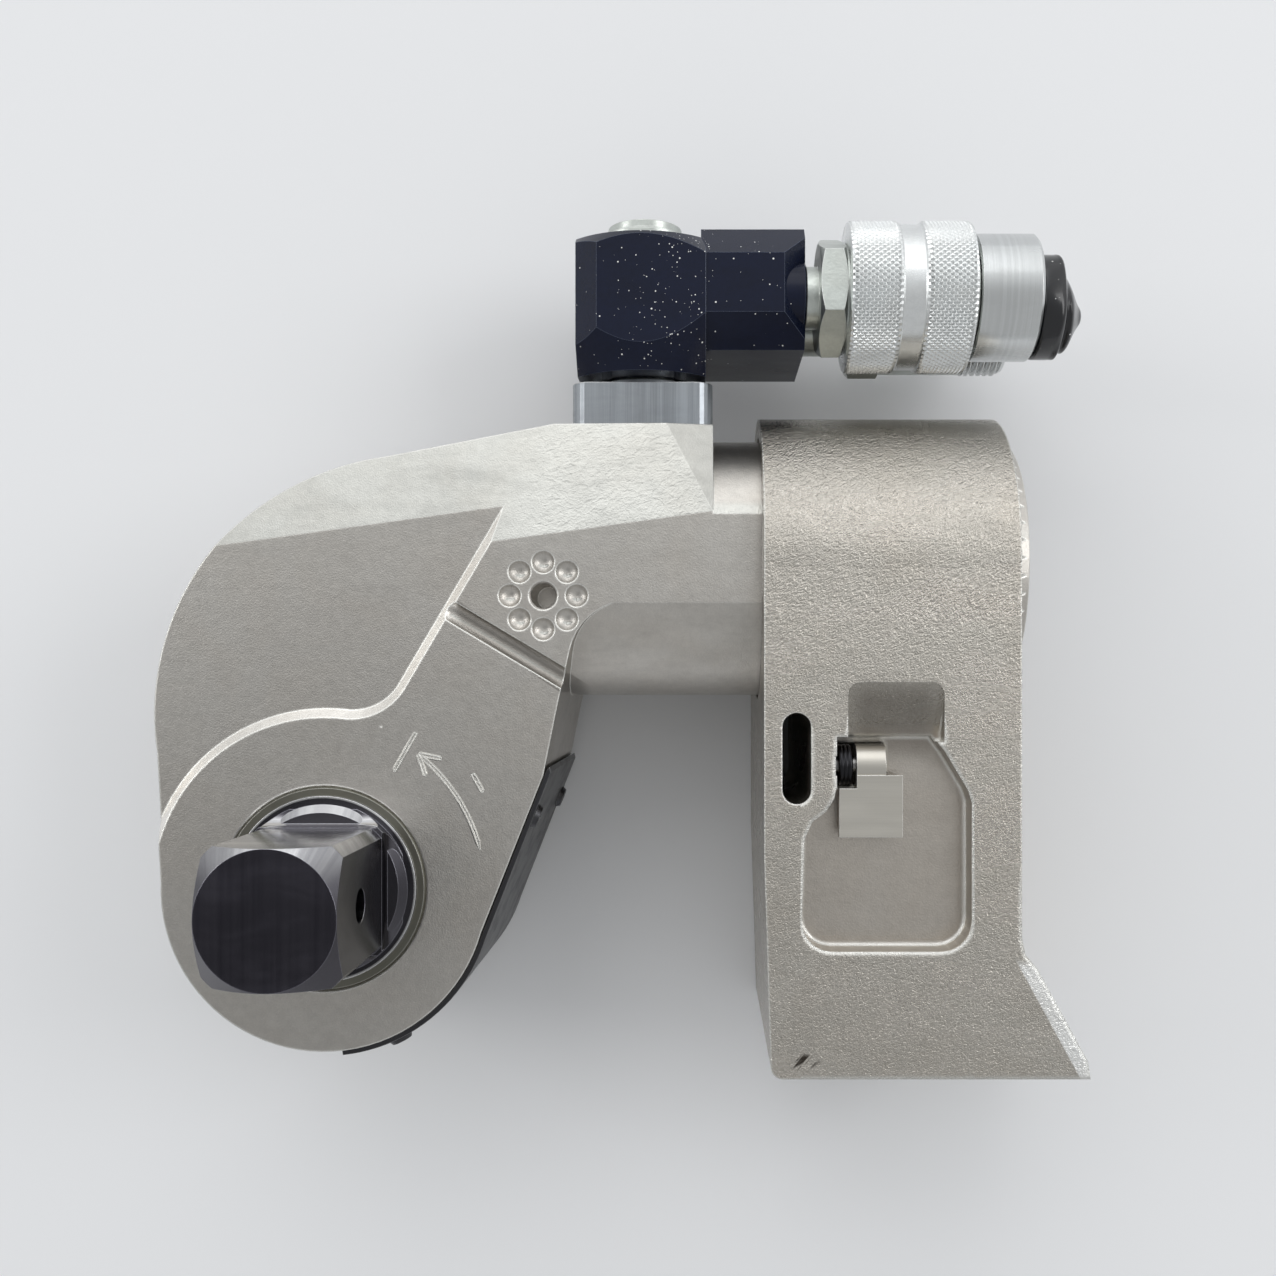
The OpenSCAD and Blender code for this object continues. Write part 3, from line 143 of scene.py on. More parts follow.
class Graph:
    """Places and joins the nodes of one node tree."""

    def __init__(self, tree: bpy.types.NodeTree) -> None:
        """Keeps the tree that the nodes go into.

        Args:
            tree: Node tree to fill.
        """
        self.tree = tree

    def add(self, kind: str, **settings: object) -> bpy.types.Node:
        """Adds a shader node.

        Args:
            kind: Name of the node's type without its prefix.
            **settings: Properties to set on it.

        Returns:
            The new node.
        """
        node = self.tree.nodes.new("ShaderNode" + kind)
        for name, value in settings.items():
            setattr(node, name, value)
        return node

    def feed(self, target: Socket, source: object) -> None:
        """Joins a socket to an input, or writes a plain value on it.

        Args:
            target: Input to fill.
            source: Output socket, number, colour or vector.
        """
        if isinstance(source, bpy.types.NodeSocket):
            self.tree.links.new(source, target)
        elif isinstance(source, tuple) and target.type == "RGBA":
            target.default_value = (*source[:3], 1.0)
        else:
            target.default_value = source

    def math(self, kind: str, *terms: object, clamp: bool = False) -> Socket:
        """Adds a math node.

        Args:
            kind: Operation.
            *terms: Its inputs, sockets or numbers.
            clamp: Whether the result is held between 0 and 1.

        Returns:
            The result.
        """
        node = self.add("Math", operation=kind, use_clamp=clamp)
        for target, term in zip(node.inputs, terms):
            self.feed(target, term)
        return node.outputs[0]

    def times(self, first: object, *others: object) -> Socket:
        """Multiplies masks or numbers.

        Args:
            first: First of them.
            *others: The others, in order.

        Returns:
            Their product.
        """
        for other in others:
            first = self.math("MULTIPLY", first, other)
        return first

    def rest_of(self, mask: object) -> Socket:
        """Returns where a mask isn't."""
        return self.math("SUBTRACT", 1.0, mask)

    def vector(self, kind: str, *terms: object) -> Socket:
        """Adds a vector math node and returns its first used output.

        Args:
            kind: Operation.
            *terms: Its inputs, sockets or triples.

        Returns:
            The vector, or the value for a length, distance or dot product.
        """
        node = self.add("VectorMath", operation=kind)
        for target, term in zip(node.inputs, terms):
            self.feed(target, term)
        scalar = kind in ("LENGTH", "DISTANCE", "DOT_PRODUCT")
        return node.outputs["Value" if scalar else "Vector"]

    def scaled(self, vector: Socket, factor: object) -> Socket:
        """Scales a vector by one number.

        Args:
            vector: Vector to scale.
            factor: Number or socket.

        Returns:
            The scaled vector.
        """
        node = self.add("VectorMath", operation="SCALE")
        self.feed(node.inputs[0], vector)
        self.feed(node.inputs["Scale"], factor)
        return node.outputs["Vector"]

    def place(self) -> Socket:
        """Returns the place on the object in millimetres."""
        return self.scaled(self.add("TexCoord").outputs["Object"], 1 / MM)

    def facing(self) -> Socket:
        """Returns the direction that the surface faces, in the object's own frame."""
        return self.add("TexCoord").outputs["Normal"]

    def parts(self, vector: Socket) -> tuple[Socket, Socket, Socket]:
        """Splits a vector into its three numbers.

        Args:
            vector: Vector to split.

        Returns:
            Its X, Y and Z.
        """
        node = self.add("SeparateXYZ")
        self.feed(node.inputs[0], vector)
        return node.outputs[0], node.outputs[1], node.outputs[2]

    def joined(self, x: object, y: object, z: object) -> Socket:
        """Makes a vector of three numbers.

        Args:
            x: First number.
            y: Second number.
            z: Third number.

        Returns:
            The vector.
        """
        node = self.add("CombineXYZ")
        for target, part in zip(node.inputs, (x, y, z)):
            self.feed(target, part)
        return node.outputs[0]

    def noise(self, place: Socket, scale: object, detail: float = 2.0, rough: float = 0.5,
              twist: float = 0.0) -> Socket:
        """Adds cloudy noise from 0 to 1.

        Args:
            place: Where to read it.
            scale: Clouds per unit of place.
            detail: Number of finer layers.
            rough: Strength of the finer layers.
            twist: How far the clouds are swirled.

        Returns:
            The noise value.
        """
        node = self.add("TexNoise")
        for name, value in (("Vector", place), ("Scale", scale), ("Detail", detail),
                            ("Roughness", rough), ("Distortion", twist)):
            self.feed(node.inputs[name], value)
        return node.outputs["Fac"]

    def remap(self, value: object, low: float, high: float, to_low: float = 0.0,
              to_high: float = 1.0) -> Socket:
        """Maps a range softly onto another.

        Args:
            value: Number to map.
            low: Start of the range.
            high: End of the range.
            to_low: Result at the start.
            to_high: Result at the end.

        Returns:
            The mapped number.
        """
        node = self.add("MapRange", interpolation_type="SMOOTHSTEP")
        for target, part in zip(node.inputs, (value, low, high, to_low, to_high)):
            self.feed(target, part)
        return node.outputs[0]

    def blend(self, share: object, first: object, second: object) -> Socket:
        """Blends two colours.

        Args:
            share: Share of the second.
            first: First colour.
            second: Second colour.

        Returns:
            The blended colour.
        """
        node = self.add("Mix", data_type="RGBA")
        self.feed(node.inputs["Factor"], share)
        self.feed(node.inputs[6], first)
        self.feed(node.inputs[7], second)
        return node.outputs[2]

    def effect(self, tree: bpy.types.NodeTree, **values: object) -> bpy.types.Node:
        """Places a node group.

        Args:
            tree: The group.
            **values: Its inputs, with an underscore for each space.

        Returns:
            The group node.
        """
        node = self.add("Group", node_tree=tree)
        for name, value in values.items():
            self.feed(node.inputs[name.replace("_", " ")], value)
        return node


class Effects:
    """Shader groups that several finishes share, each built once."""

    def __init__(self) -> None:
        """Builds every group."""
        self.edge = self._edge()
        self.peel = self._peel()
        self.blast = self._blast()
        self.lines = self._lines()
        self.stain = self._stain()
        self.specks = self._specks()
        self.scuffs = self._scuffs()

    @staticmethod
    def _start(name: str, inputs: dict[str, float], outputs: dict[str, str]
               ) -> tuple[Graph, bpy.types.Node, bpy.types.Node]:
        """Starts a group with its sockets.

        Args:
            name: Name of the group.
            inputs: Names of its numbers with their first values.
            outputs: Names of its outputs with their socket types.

        Returns:
            The graph, the input node and the output node.
        """
        tree = bpy.data.node_groups.new(name, "ShaderNodeTree")
        for label, value in inputs.items():
            socket = tree.interface.new_socket(label, in_out="INPUT", socket_type="NodeSocketFloat")
            socket.default_value = value
        for label, kind in outputs.items():
            tree.interface.new_socket(label, in_out="OUTPUT", socket_type=kind)
        ends = tree.nodes.new("NodeGroupInput"), tree.nodes.new("NodeGroupOutput")
        return Graph(tree), *ends

    def _edge(self) -> bpy.types.NodeTree:
        """Rounds edges in the normal and marks them; the mask places the painted edge highlight.

        Returns:
            Group with Radius in millimetres; Normal and Mask come out.
        """
        graph, given, out = self._start(
            "edge_rounding_and_highlight", {"Radius": 0.3}, {"Normal": "NodeSocketVector", "Mask": "NodeSocketFloat"})
        bevel = graph.add("Bevel", samples=6)
        graph.feed(bevel.inputs["Radius"], graph.math("MULTIPLY", given.outputs["Radius"], MM))
        plain = graph.add("NewGeometry").outputs["Normal"]
        bend = graph.vector("DISTANCE", bevel.outputs["Normal"], plain)
        graph.feed(out.inputs["Normal"], bevel.outputs["Normal"])
        graph.feed(out.inputs["Mask"], graph.remap(bend, 0.05, 0.45))
        return graph.tree

    def _peel(self) -> bpy.types.NodeTree:
        """Skin of a casting: soft ripples with finer grain on them.

        Returns:
            Group with Size in millimetres and Lean; Height from 0 to 1 and Glint come out.
        """
        graph, given, out = self._start(
            "cast_skin", {"Size": 1.1, "Lean": 0.5},
            {"Height": "NodeSocketFloat", "Glint": "NodeSocketFloat"})
        x, y, z = graph.parts(graph.place())
        lean = graph.math("MULTIPLY", given.outputs["Lean"], x)
        skewed = graph.joined(graph.math("MULTIPLY", x, 0.8), graph.math("SUBTRACT", y, lean), z)
        pitch = graph.math("DIVIDE", 1.0, given.outputs["Size"])
        ripple = graph.noise(skewed, pitch, 1.5, 0.45, 0.5)
        grain = graph.noise(skewed, graph.math("MULTIPLY", pitch, 2.7), 2.0, 0.5)
        waves = graph.noise(graph.place(), 0.16, 2.0, 0.5)
        ridges = graph.math("SUBTRACT", 1.0, graph.math(
            "ABSOLUTE", graph.math("MULTIPLY_ADD", ripple, 2.6, -1.3)))
        height = graph.math("MULTIPLY_ADD", ridges, 0.55, graph.math("MULTIPLY", grain, 0.45))
        graph.feed(out.inputs["Height"], graph.math("MULTIPLY_ADD", waves, 0.35, height))
        graph.feed(out.inputs["Glint"], graph.remap(ridges, 0.75, 1.0))
        return graph.tree

    def _blast(self) -> bpy.types.NodeTree:
        """Fine even grain of a bead-blasted face.

        Returns:
            Group with Size in millimetres; Height and Tone come out.
        """
        graph, given, out = self._start(
            "blasted_skin", {"Size": 0.35}, {"Height": "NodeSocketFloat", "Tone": "NodeSocketFloat"})
        pitch = graph.math("DIVIDE", 1.0, given.outputs["Size"])
        place = graph.place()
        grain = graph.noise(place, pitch, 2.0, 0.6)
        patches = graph.noise(place, graph.math("MULTIPLY", pitch, 0.16), 3.0, 0.6)
        graph.feed(out.inputs["Height"], graph.math("MULTIPLY_ADD", patches, 0.8, grain))
        tone = graph.math("MULTIPLY_ADD", grain, 0.5, graph.math("MULTIPLY", patches, 0.5))
        graph.feed(out.inputs["Tone"], tone)
        return graph.tree

    def _lines(self) -> bpy.types.NodeTree:
        """Lines of a cutter or a brush, across the first part of Place.

        Returns:
            Group with Place and Pitch in millimetres, and Run, the lines' length in
            pitches; Height and Tone come out.
        """
        graph, given, out = self._start(
            "tool_lines", {"Pitch": 0.3, "Run": 60.0},
            {"Height": "NodeSocketFloat", "Tone": "NodeSocketFloat"})
        graph.tree.interface.new_socket("Place", in_out="INPUT", socket_type="NodeSocketVector")
        across, along, deep = graph.parts(given.outputs["Place"])
        pitch = graph.math("DIVIDE", 1.0, given.outputs["Pitch"])
        run = graph.math("DIVIDE", pitch, given.outputs["Run"])
        place = graph.joined(graph.math("MULTIPLY", across, pitch), graph.math("MULTIPLY", along, run),
                             graph.math("MULTIPLY", deep, run))
        fine = graph.noise(place, 1.0, 3.0, 0.65)
        bands = graph.noise(place, 0.13, 2.0, 0.5)
        graph.feed(out.inputs["Height"], fine)
        tone = graph.math("MULTIPLY_ADD", bands, 0.6, graph.math("MULTIPLY", fine, 0.4))
        graph.feed(out.inputs["Tone"], tone)
        return graph.tree

    def _stain(self) -> bpy.types.NodeTree:
        """Slow changes of tone, as oil and handling leave them.

        Returns:
            Group with Size in millimetres; Warm and Smear masks come out.
        """
        graph, given, out = self._start(
            "handling_stain", {"Size": 14.0}, {"Warm": "NodeSocketFloat", "Smear": "NodeSocketFloat"})
        pitch = graph.math("DIVIDE", 1.0, given.outputs["Size"])
        place = graph.place()
        warm = graph.noise(place, pitch, 4.0, 0.55, 0.6)
        stretched = graph.vector("MULTIPLY", place, (0.5, 1.6, 1.0))
        smear = graph.noise(stretched, graph.math("MULTIPLY", pitch, 1.7), 5.0, 0.6, 0.3)
        graph.feed(out.inputs["Warm"], graph.remap(warm, 0.35, 0.7))
        graph.feed(out.inputs["Smear"], graph.remap(smear, 0.4, 0.75))
        return graph.tree

    def _specks(self) -> bpy.types.NodeTree:
        """Specks of dust, thick in some places and thin in others.

        Returns:
            Group with Size in millimetres and Amount; Mask comes out.
        """
        graph, given, out = self._start(
            "dust_specks", {"Size": 0.75, "Amount": 0.5}, {"Mask": "NodeSocketFloat"})
        place = graph.place()
        cells = graph.add("TexVoronoi", feature="F1")
        graph.feed(cells.inputs["Vector"], place)
        graph.feed(cells.inputs["Scale"], graph.math("DIVIDE", 1.0, given.outputs["Size"]))
        tint, girth, _ = graph.parts(cells.outputs["Color"])
        radius = graph.math("MULTIPLY_ADD", graph.math("POWER", girth, 3.0), 0.22, 0.1)
        near = graph.remap(cells.outputs["Distance"], radius, graph.math("MULTIPLY", radius, 0.6))
        wide = graph.noise(place, 0.22, 3.0, 0.6)
        kept = graph.math("LESS_THAN", tint, graph.math("MULTIPLY", given.outputs["Amount"], wide))
        graph.feed(out.inputs["Mask"], graph.math("MULTIPLY", near, kept))
        return graph.tree

    def _scuffs(self) -> bpy.types.NodeTree:
        """Thin scratches in two directions.

        Returns:
            Group with Amount; Mask comes out.
        """
        graph, given, out = self._start("scuffs", {"Amount": 0.5}, {"Mask": "NodeSocketFloat"})
        masks = []
        for stretch, turn in (((0.12, 1.9, 1.0), 0.6), ((1.7, 0.1, 1.0), -0.35)):
            turned = graph.add("VectorRotate", rotation_type="Z_AXIS")
            graph.feed(turned.inputs["Vector"], graph.place())
            graph.feed(turned.inputs["Angle"], turn)
            thin = graph.noise(graph.vector("MULTIPLY", turned.outputs[0], stretch), 1.0, 1.0, 0.4)
            line = graph.remap(graph.math("ABSOLUTE", graph.math("SUBTRACT", thin, 0.5)), 0.012, 0.0)
            patch = graph.remap(graph.noise(turned.outputs[0], 0.09, 2.0), 0.55, 0.7)
            masks.append(graph.math("MULTIPLY", line, patch))
        both = graph.math("MAXIMUM", *masks)
        graph.feed(out.inputs["Mask"], graph.math("MULTIPLY", both, given.outputs["Amount"], clamp=True))
        return graph.tree


@dataclass(frozen=True)
class Finish:
    """One surface finish: colour, gloss, the marks that making and use left, and a painted highlight along
    the edges.

    Heights and sizes are in millimetres.
    """

    name: str
    colour: Colour
    rough: float = 0.4
    metallic: float = 1.0
    rough_spread: float = 0.12
    tone_spread: float = 0.12
    warm_tint: Colour = (0.94, 0.9, 0.86)
    stain: float = 0.35
    stain_size: float = 14.0
    edge_radius: float = 0.3
    edge_highlight_and_scratch_colour: Colour = (0.86, 0.86, 0.84)
    edge_highlight_strength: float = 0.5
    blast_size: float = 0.35
    blast_height: float = 0.0
    lines: Lines = Lines.NONE
    line_pitch: float = 0.3
    line_height: float = 0.0
    line_tone: float = 0.15
    scuffs: float = 0.0
    dust: float = 0.0
    coat: float = 0.0
    coat_rough: float = 0.1
    specular: float = 0.5

    def line_place(self, graph: Graph) -> Socket:
        """Gives the place that the tool lines follow.

        Args:
            graph: Graph of the material.

        Returns:
            A vector whose first part runs across the lines.
        """
        x, y, z = graph.parts(graph.place())
        if self.lines is Lines.ALONG_X:
            return graph.joined(graph.math("ADD", y, z), x, 0.0)
        if self.lines is Lines.ALONG_Y:
            return graph.joined(graph.math("ADD", x, z), y, 0.0)
        if self.lines is Lines.ROUND_X:
            return graph.joined(x, graph.math("MULTIPLY", y, 0.5), graph.math("MULTIPLY", z, 0.5))
        radius = graph.vector("LENGTH", graph.joined(x, y, 0.0))
        return graph.joined(graph.math("ADD", radius, graph.math("MULTIPLY", z, 0.7)), 0.0, 0.0)

    def build(self, effects: Effects) -> bpy.types.Material:
        """Makes the material.

        Args:
            effects: The shared shader groups.

        Returns:
            The new material.
        """
        skin = Skin(self, effects)
        skin.finish_up()
        return skin.material


class Skin:
    """Node tree of one finish while it is made; zones can be changed before it is closed."""

    def __init__(self, finish: Finish, effects: Effects) -> None:
        """Starts the material and gathers its colour, gloss and relief.

        Args:
            finish: What the surface is like.
            effects: The shared shader groups.
        """
        self.finish = finish
        self.effects = effects
        self.material = bpy.data.materials.new(finish.name)
        self.material.use_nodes = True
        self.material.node_tree.nodes.clear()
        self.material.diffuse_color = (*finish.colour, 1.0)
        self.graph = Graph(self.material.node_tree)
        self.colour: object = finish.colour
        self.rough: object = finish.rough
        self.relief: list[Socket] = []
        self.radius: object = finish.edge_radius
        self.metallic: object = finish.metallic

    def raise_by(self, height: object, amount: object) -> None:
        """Adds relief.

        Args:
            height: Relief from 0 to 1.
            amount: Its height in millimetres, a number or a socket.
        """
        self.relief.append(self.graph.math("MULTIPLY", height, amount))

    def tint(self, mask: object, colour: Colour) -> None:
        """Multiplies the colour where the mask is.

        Args:
            mask: Where.
            colour: Colour to multiply by.
        """
        node = self.graph.add("Mix", data_type="RGBA", blend_type="MULTIPLY")
        self.graph.feed(node.inputs["Factor"], mask)
        self.graph.feed(node.inputs[6], self.colour)
        self.graph.feed(node.inputs[7], colour)
        self.colour = node.outputs[2]

    def add_marks(self) -> None:
        """Adds the marks that the finish asks for."""
        finish, graph = self.finish, self.graph
        stain = graph.effect(self.effects.stain, Size=finish.stain_size)
        self.tint(graph.math("MULTIPLY", stain.outputs["Warm"], finish.stain), finish.warm_tint)
        dim = 1.0 - finish.tone_spread
        self.tint(stain.outputs["Smear"], (dim, dim, dim))
        self.rough = graph.math("MULTIPLY_ADD", stain.outputs["Smear"], finish.rough_spread, self.rough)
        if finish.blast_height:
            blast = graph.effect(self.effects.blast, Size=finish.blast_size)
            self.raise_by(blast.outputs["Height"], finish.blast_height)
            grey = graph.remap(blast.outputs["Tone"], 0.3, 0.7, 1.0, 0.0)
            self.tint(grey, (dim, dim, dim))
        if finish.lines is not Lines.NONE:
            lines = graph.effect(self.effects.lines, Pitch=finish.line_pitch,
                                 Place=finish.line_place(graph))
            self.raise_by(lines.outputs["Height"], finish.line_height)
            low = 1.0 - finish.line_tone
            self.tint(graph.remap(lines.outputs["Tone"], 0.3, 0.7), (low, low, low))
        if finish.scuffs:
            scuffs = graph.effect(self.effects.scuffs, Amount=finish.scuffs)
            self.colour = graph.blend(graph.math("MULTIPLY", scuffs.outputs["Mask"], 0.5),
                                      self.colour, finish.edge_highlight_and_scratch_colour)
            self.rough = graph.math("MULTIPLY_ADD", scuffs.outputs["Mask"], 0.15, self.rough)

    def finish_up(self, dust_zone: object = 1.0) -> None:
        """Adds the marks, rounds the edges and paints a highlight along them, and closes the material.

        Args:
            dust_zone: Where dust may lie.
        """
        finish, graph = self.finish, self.graph
        self.add_marks()
        edge = graph.effect(self.effects.edge, Radius=self.radius)
        # Painted highlight: the edges are blended towards the light edge colour.
        self.colour = graph.blend(graph.math("MULTIPLY", edge.outputs["Mask"], finish.edge_highlight_strength),
                                  self.colour, finish.edge_highlight_and_scratch_colour)
        if finish.dust:
            amount = graph.math("MULTIPLY", dust_zone, finish.dust)
            mask = graph.effect(self.effects.specks, Amount=amount).outputs["Mask"]
            self.colour = graph.blend(mask, self.colour, (0.8, 0.8, 0.78))
            self.metallic = graph.times(graph.rest_of(mask), finish.metallic)
            self.rough = graph.math("MULTIPLY_ADD", mask, 0.5, self.rough)
        shader = graph.add("BsdfPrincipled")
        shader.inputs["Specular IOR Level"].default_value = finish.specular
        shader.inputs["Coat Weight"].default_value = finish.coat
        shader.inputs["Coat Roughness"].default_value = finish.coat_rough
        normal = edge.outputs["Normal"]
        if self.relief:
            total = self.relief[0]
            for height in self.relief[1:]:
                total = graph.math("ADD", total, height)
            bump = graph.add("Bump")
            bump.inputs["Distance"].default_value = MM
            graph.feed(bump.inputs["Height"], total)
            graph.feed(bump.inputs["Normal"], normal)
            normal = bump.outputs["Normal"]
        graph.feed(shader.inputs["Normal"], normal)
        graph.feed(shader.inputs["Base Color"], self.colour)
        graph.feed(shader.inputs["Roughness"], self.rough)
        graph.feed(shader.inputs["Metallic"], self.metallic)
        graph.feed(graph.add("OutputMaterial").inputs["Surface"], shader.outputs[0])


HEAD_STEEL = Finish(
    "blasted_nickel_head", linear(0.8, 0.785, 0.76), rough=0.34, rough_spread=0.06, tone_spread=0.13,
    stain=0.3, stain_size=20.0, blast_size=0.3, blast_height=0.05, edge_radius=0.5,
    edge_highlight_and_scratch_colour=linear(0.99, 0.99, 0.97), edge_highlight_strength=0.9, scuffs=0.12)
CAST_STEEL = Finish(
    "cast_nickel_arm", linear(0.735, 0.715, 0.68), rough=0.27, rough_spread=0.06, tone_spread=0.1,
    stain=0.3, stain_size=24.0, blast_size=0.36, blast_height=0.05, edge_radius=0.6,
    edge_highlight_and_scratch_colour=linear(0.97, 0.97, 0.95), edge_highlight_strength=0.8)
BRIGHT_TURNED = Finish(
    "bright_turned_steel", linear(0.84, 0.85, 0.85), rough=0.2, lines=Lines.ROUND_X, line_pitch=0.16,
    line_height=0.006, edge_radius=0.15, stain=0.15, tone_spread=0.08)
BRIGHT_KNURLED = Finish(
    "bright_knurled_steel", linear(0.93, 0.94, 0.94), rough=0.27, blast_size=0.25, blast_height=0.004,
    edge_radius=0.12, stain=0.2, tone_spread=0.1)
BRIGHT_MILLED = Finish(
    "milled_base_steel", linear(0.66, 0.68, 0.7), rough=0.3, lines=Lines.ALONG_Y, line_pitch=0.4,
    line_height=0.014, line_tone=0.35, edge_radius=0.3, edge_highlight_strength=0.8, stain=0.2)
BRIGHT_HEXAGON = Finish(
    "bright_hexagon_steel", linear(0.79, 0.81, 0.79), rough=0.28, blast_size=0.6, blast_height=0.03,
    edge_radius=0.25, stain=0.2)
MACHINED = Finish(
    "machined_steel", linear(0.68, 0.68, 0.68), rough=0.3, lines=Lines.ROUND_Z, line_pitch=0.25,
    line_height=0.006, edge_radius=0.2)
BLACK_OXIDE = Finish(
    "black_oxide_steel", linear(0.34, 0.335, 0.355), rough=0.2, rough_spread=0.05, edge_radius=0.2,
    edge_highlight_and_scratch_colour=linear(0.72, 0.72, 0.76), edge_highlight_strength=0.3, scuffs=0.1, stain=0.2, tone_spread=0.06)
DARK_STEEL = Finish(
    "dark_steel", linear(0.3, 0.3, 0.31), rough=0.35, blast_size=0.3, blast_height=0.006, edge_radius=0.2,
    edge_highlight_and_scratch_colour=linear(0.7, 0.7, 0.7), edge_highlight_strength=0.5)
BRONZE = Finish(
    "bush_bronze", linear(0.5, 0.495, 0.455), rough=0.34, lines=Lines.ROUND_Z, line_pitch=0.2,
    line_height=0.006, edge_radius=0.15)
ANODISED = Finish(
    "black_anodised_block", linear(0.07, 0.095, 0.18), rough=0.22, metallic=0.0, rough_spread=0.06,
    blast_size=0.22, blast_height=0.002, edge_radius=0.16, edge_highlight_and_scratch_colour=linear(0.5, 0.54, 0.62),
    edge_highlight_strength=0.5, dust=1.5, tone_spread=0.2, stain=0.0, specular=0.22)
SEAL_RUBBER = Finish(
    "seal_rubber", linear(0.13, 0.13, 0.13), rough=0.5, metallic=0.0, edge_highlight_strength=0.0, edge_radius=0.1,
    blast_size=0.5, blast_height=0.004)
PLUG_RUBBER = Finish(
    "glossy_plug_rubber", linear(0.05, 0.055, 0.075), rough=0.2, metallic=0.0, edge_highlight_strength=0.0,
    edge_radius=0.1, blast_size=1.4, blast_height=0.01, coat=0.25, coat_rough=0.06, rough_spread=0.1,
    dust=0.12)
SPRING_STEEL = Finish(
    "black_spring_steel", linear(0.2, 0.2, 0.21), rough=0.28, edge_highlight_strength=0.0, edge_radius=0.05,
    blast_size=0.2, blast_height=0.003)
LEVER_STEEL = Finish(
    "ground_lever_steel", linear(0.8, 0.785, 0.75), rough=0.34, lines=Lines.ALONG_X, line_pitch=0.3,
    line_height=0.005, line_tone=0.1, edge_radius=0.2, edge_highlight_strength=0.7, tone_spread=0.05, stain=0.2)


class HeadSkin:
    """Finish of the head: blasted faces, a brighter bevelled band, a turned barrel, a painted highlight on
    the recess step and painted shade in the groove.
    """

    peel_start_x: float = 33.0
    peel_full_x: float = 47.0
    barrel_x: float = 79.0
    step_top_x: float = 36.8
    step_top_y: float = 77.7
    step_lean: float = 0.567
    step_side: Flat = (1.2, 2.0)
    groove_normal: Point = (0.563, 0.826, 0.0)
    groove_offset: float = 61.7
    groove_half: float = 2.0
    groove_start_x: float = 26.0
    groove_end_x: float = 53.0
    recess_z: float = -3.6
    peel_height: float = 0.1
    band_colour: Colour = linear(0.755, 0.755, 0.735)
    step_highlight_colour: Colour = linear(0.97, 0.96, 0.94)
    groove_shade_tint: Colour = (0.62, 0.61, 0.6)

    def build(self, effects: Effects) -> bpy.types.Material:
        """Makes the head's material.

        Args:
            effects: The shared shader groups.

        Returns:
            The new material.
        """
        skin = Skin(HEAD_STEEL, effects)
        graph = skin.graph
        x, y, z = graph.parts(graph.place())
        face_x, face_y, face_z = graph.parts(graph.facing())
        flat = graph.remap(graph.math("ABSOLUTE", face_z), 0.9, 0.93)
        band = graph.times(flat, graph.remap(face_y, 0.12, 0.18))
        corner = graph.remap(face_x, 0.03, 0.08)
        rippled = graph.times(band, graph.rest_of(corner),
                              graph.remap(x, self.peel_start_x, self.peel_full_x))
        peel = graph.effect(effects.peel, Size=1.5, Lean=0.2)
        skin.raise_by(peel.outputs["Height"], graph.times(rippled, self.peel_height))
        skin.colour = graph.blend(band, HEAD_STEEL.colour, self.band_colour)
        # Painted highlight: a light strip on the wall of the recess step.
        right = graph.math("MULTIPLY_ADD", graph.math("SUBTRACT", y, self.step_top_y), -self.step_lean, x)
        near_side, far_side = (self.step_top_x + reach for reach in self.step_side)
        steps = graph.times(graph.remap(face_z, 0.9, 0.8), graph.remap(face_z, 0.08, 0.2),
                            graph.remap(z, self.recess_z, self.recess_z + 0.4),
                            graph.remap(right, far_side, near_side))
        skin.colour = graph.blend(steps, skin.colour, self.step_highlight_colour)
        # Painted shade: the groove is darkened.
        across = graph.vector("DOT_PRODUCT", graph.joined(x, y, 0.0), self.groove_normal)
        off_middle = graph.math("ABSOLUTE", graph.math("SUBTRACT", across, self.groove_offset))
        along = graph.times(graph.remap(x, self.groove_start_x, self.groove_start_x + 2.0),
                            graph.remap(x, self.groove_end_x, self.groove_end_x - 3.0))
        groove = graph.times(graph.remap(off_middle, self.groove_half, self.groove_half - 0.3), along)
        skin.tint(groove, self.groove_shade_tint)
        skin.rough = graph.math("MULTIPLY_ADD", rippled, -0.06, HEAD_STEEL.rough)
        turned = graph.effect(effects.lines, Pitch=0.3,
                              Place=graph.joined(x, graph.times(y, 0.5), 0.0))
        on_barrel = graph.remap(x, self.barrel_x, self.barrel_x + 0.3)
        skin.raise_by(turned.outputs["Height"], graph.times(on_barrel, 0.012))
        skin.finish_up()
        return skin.material


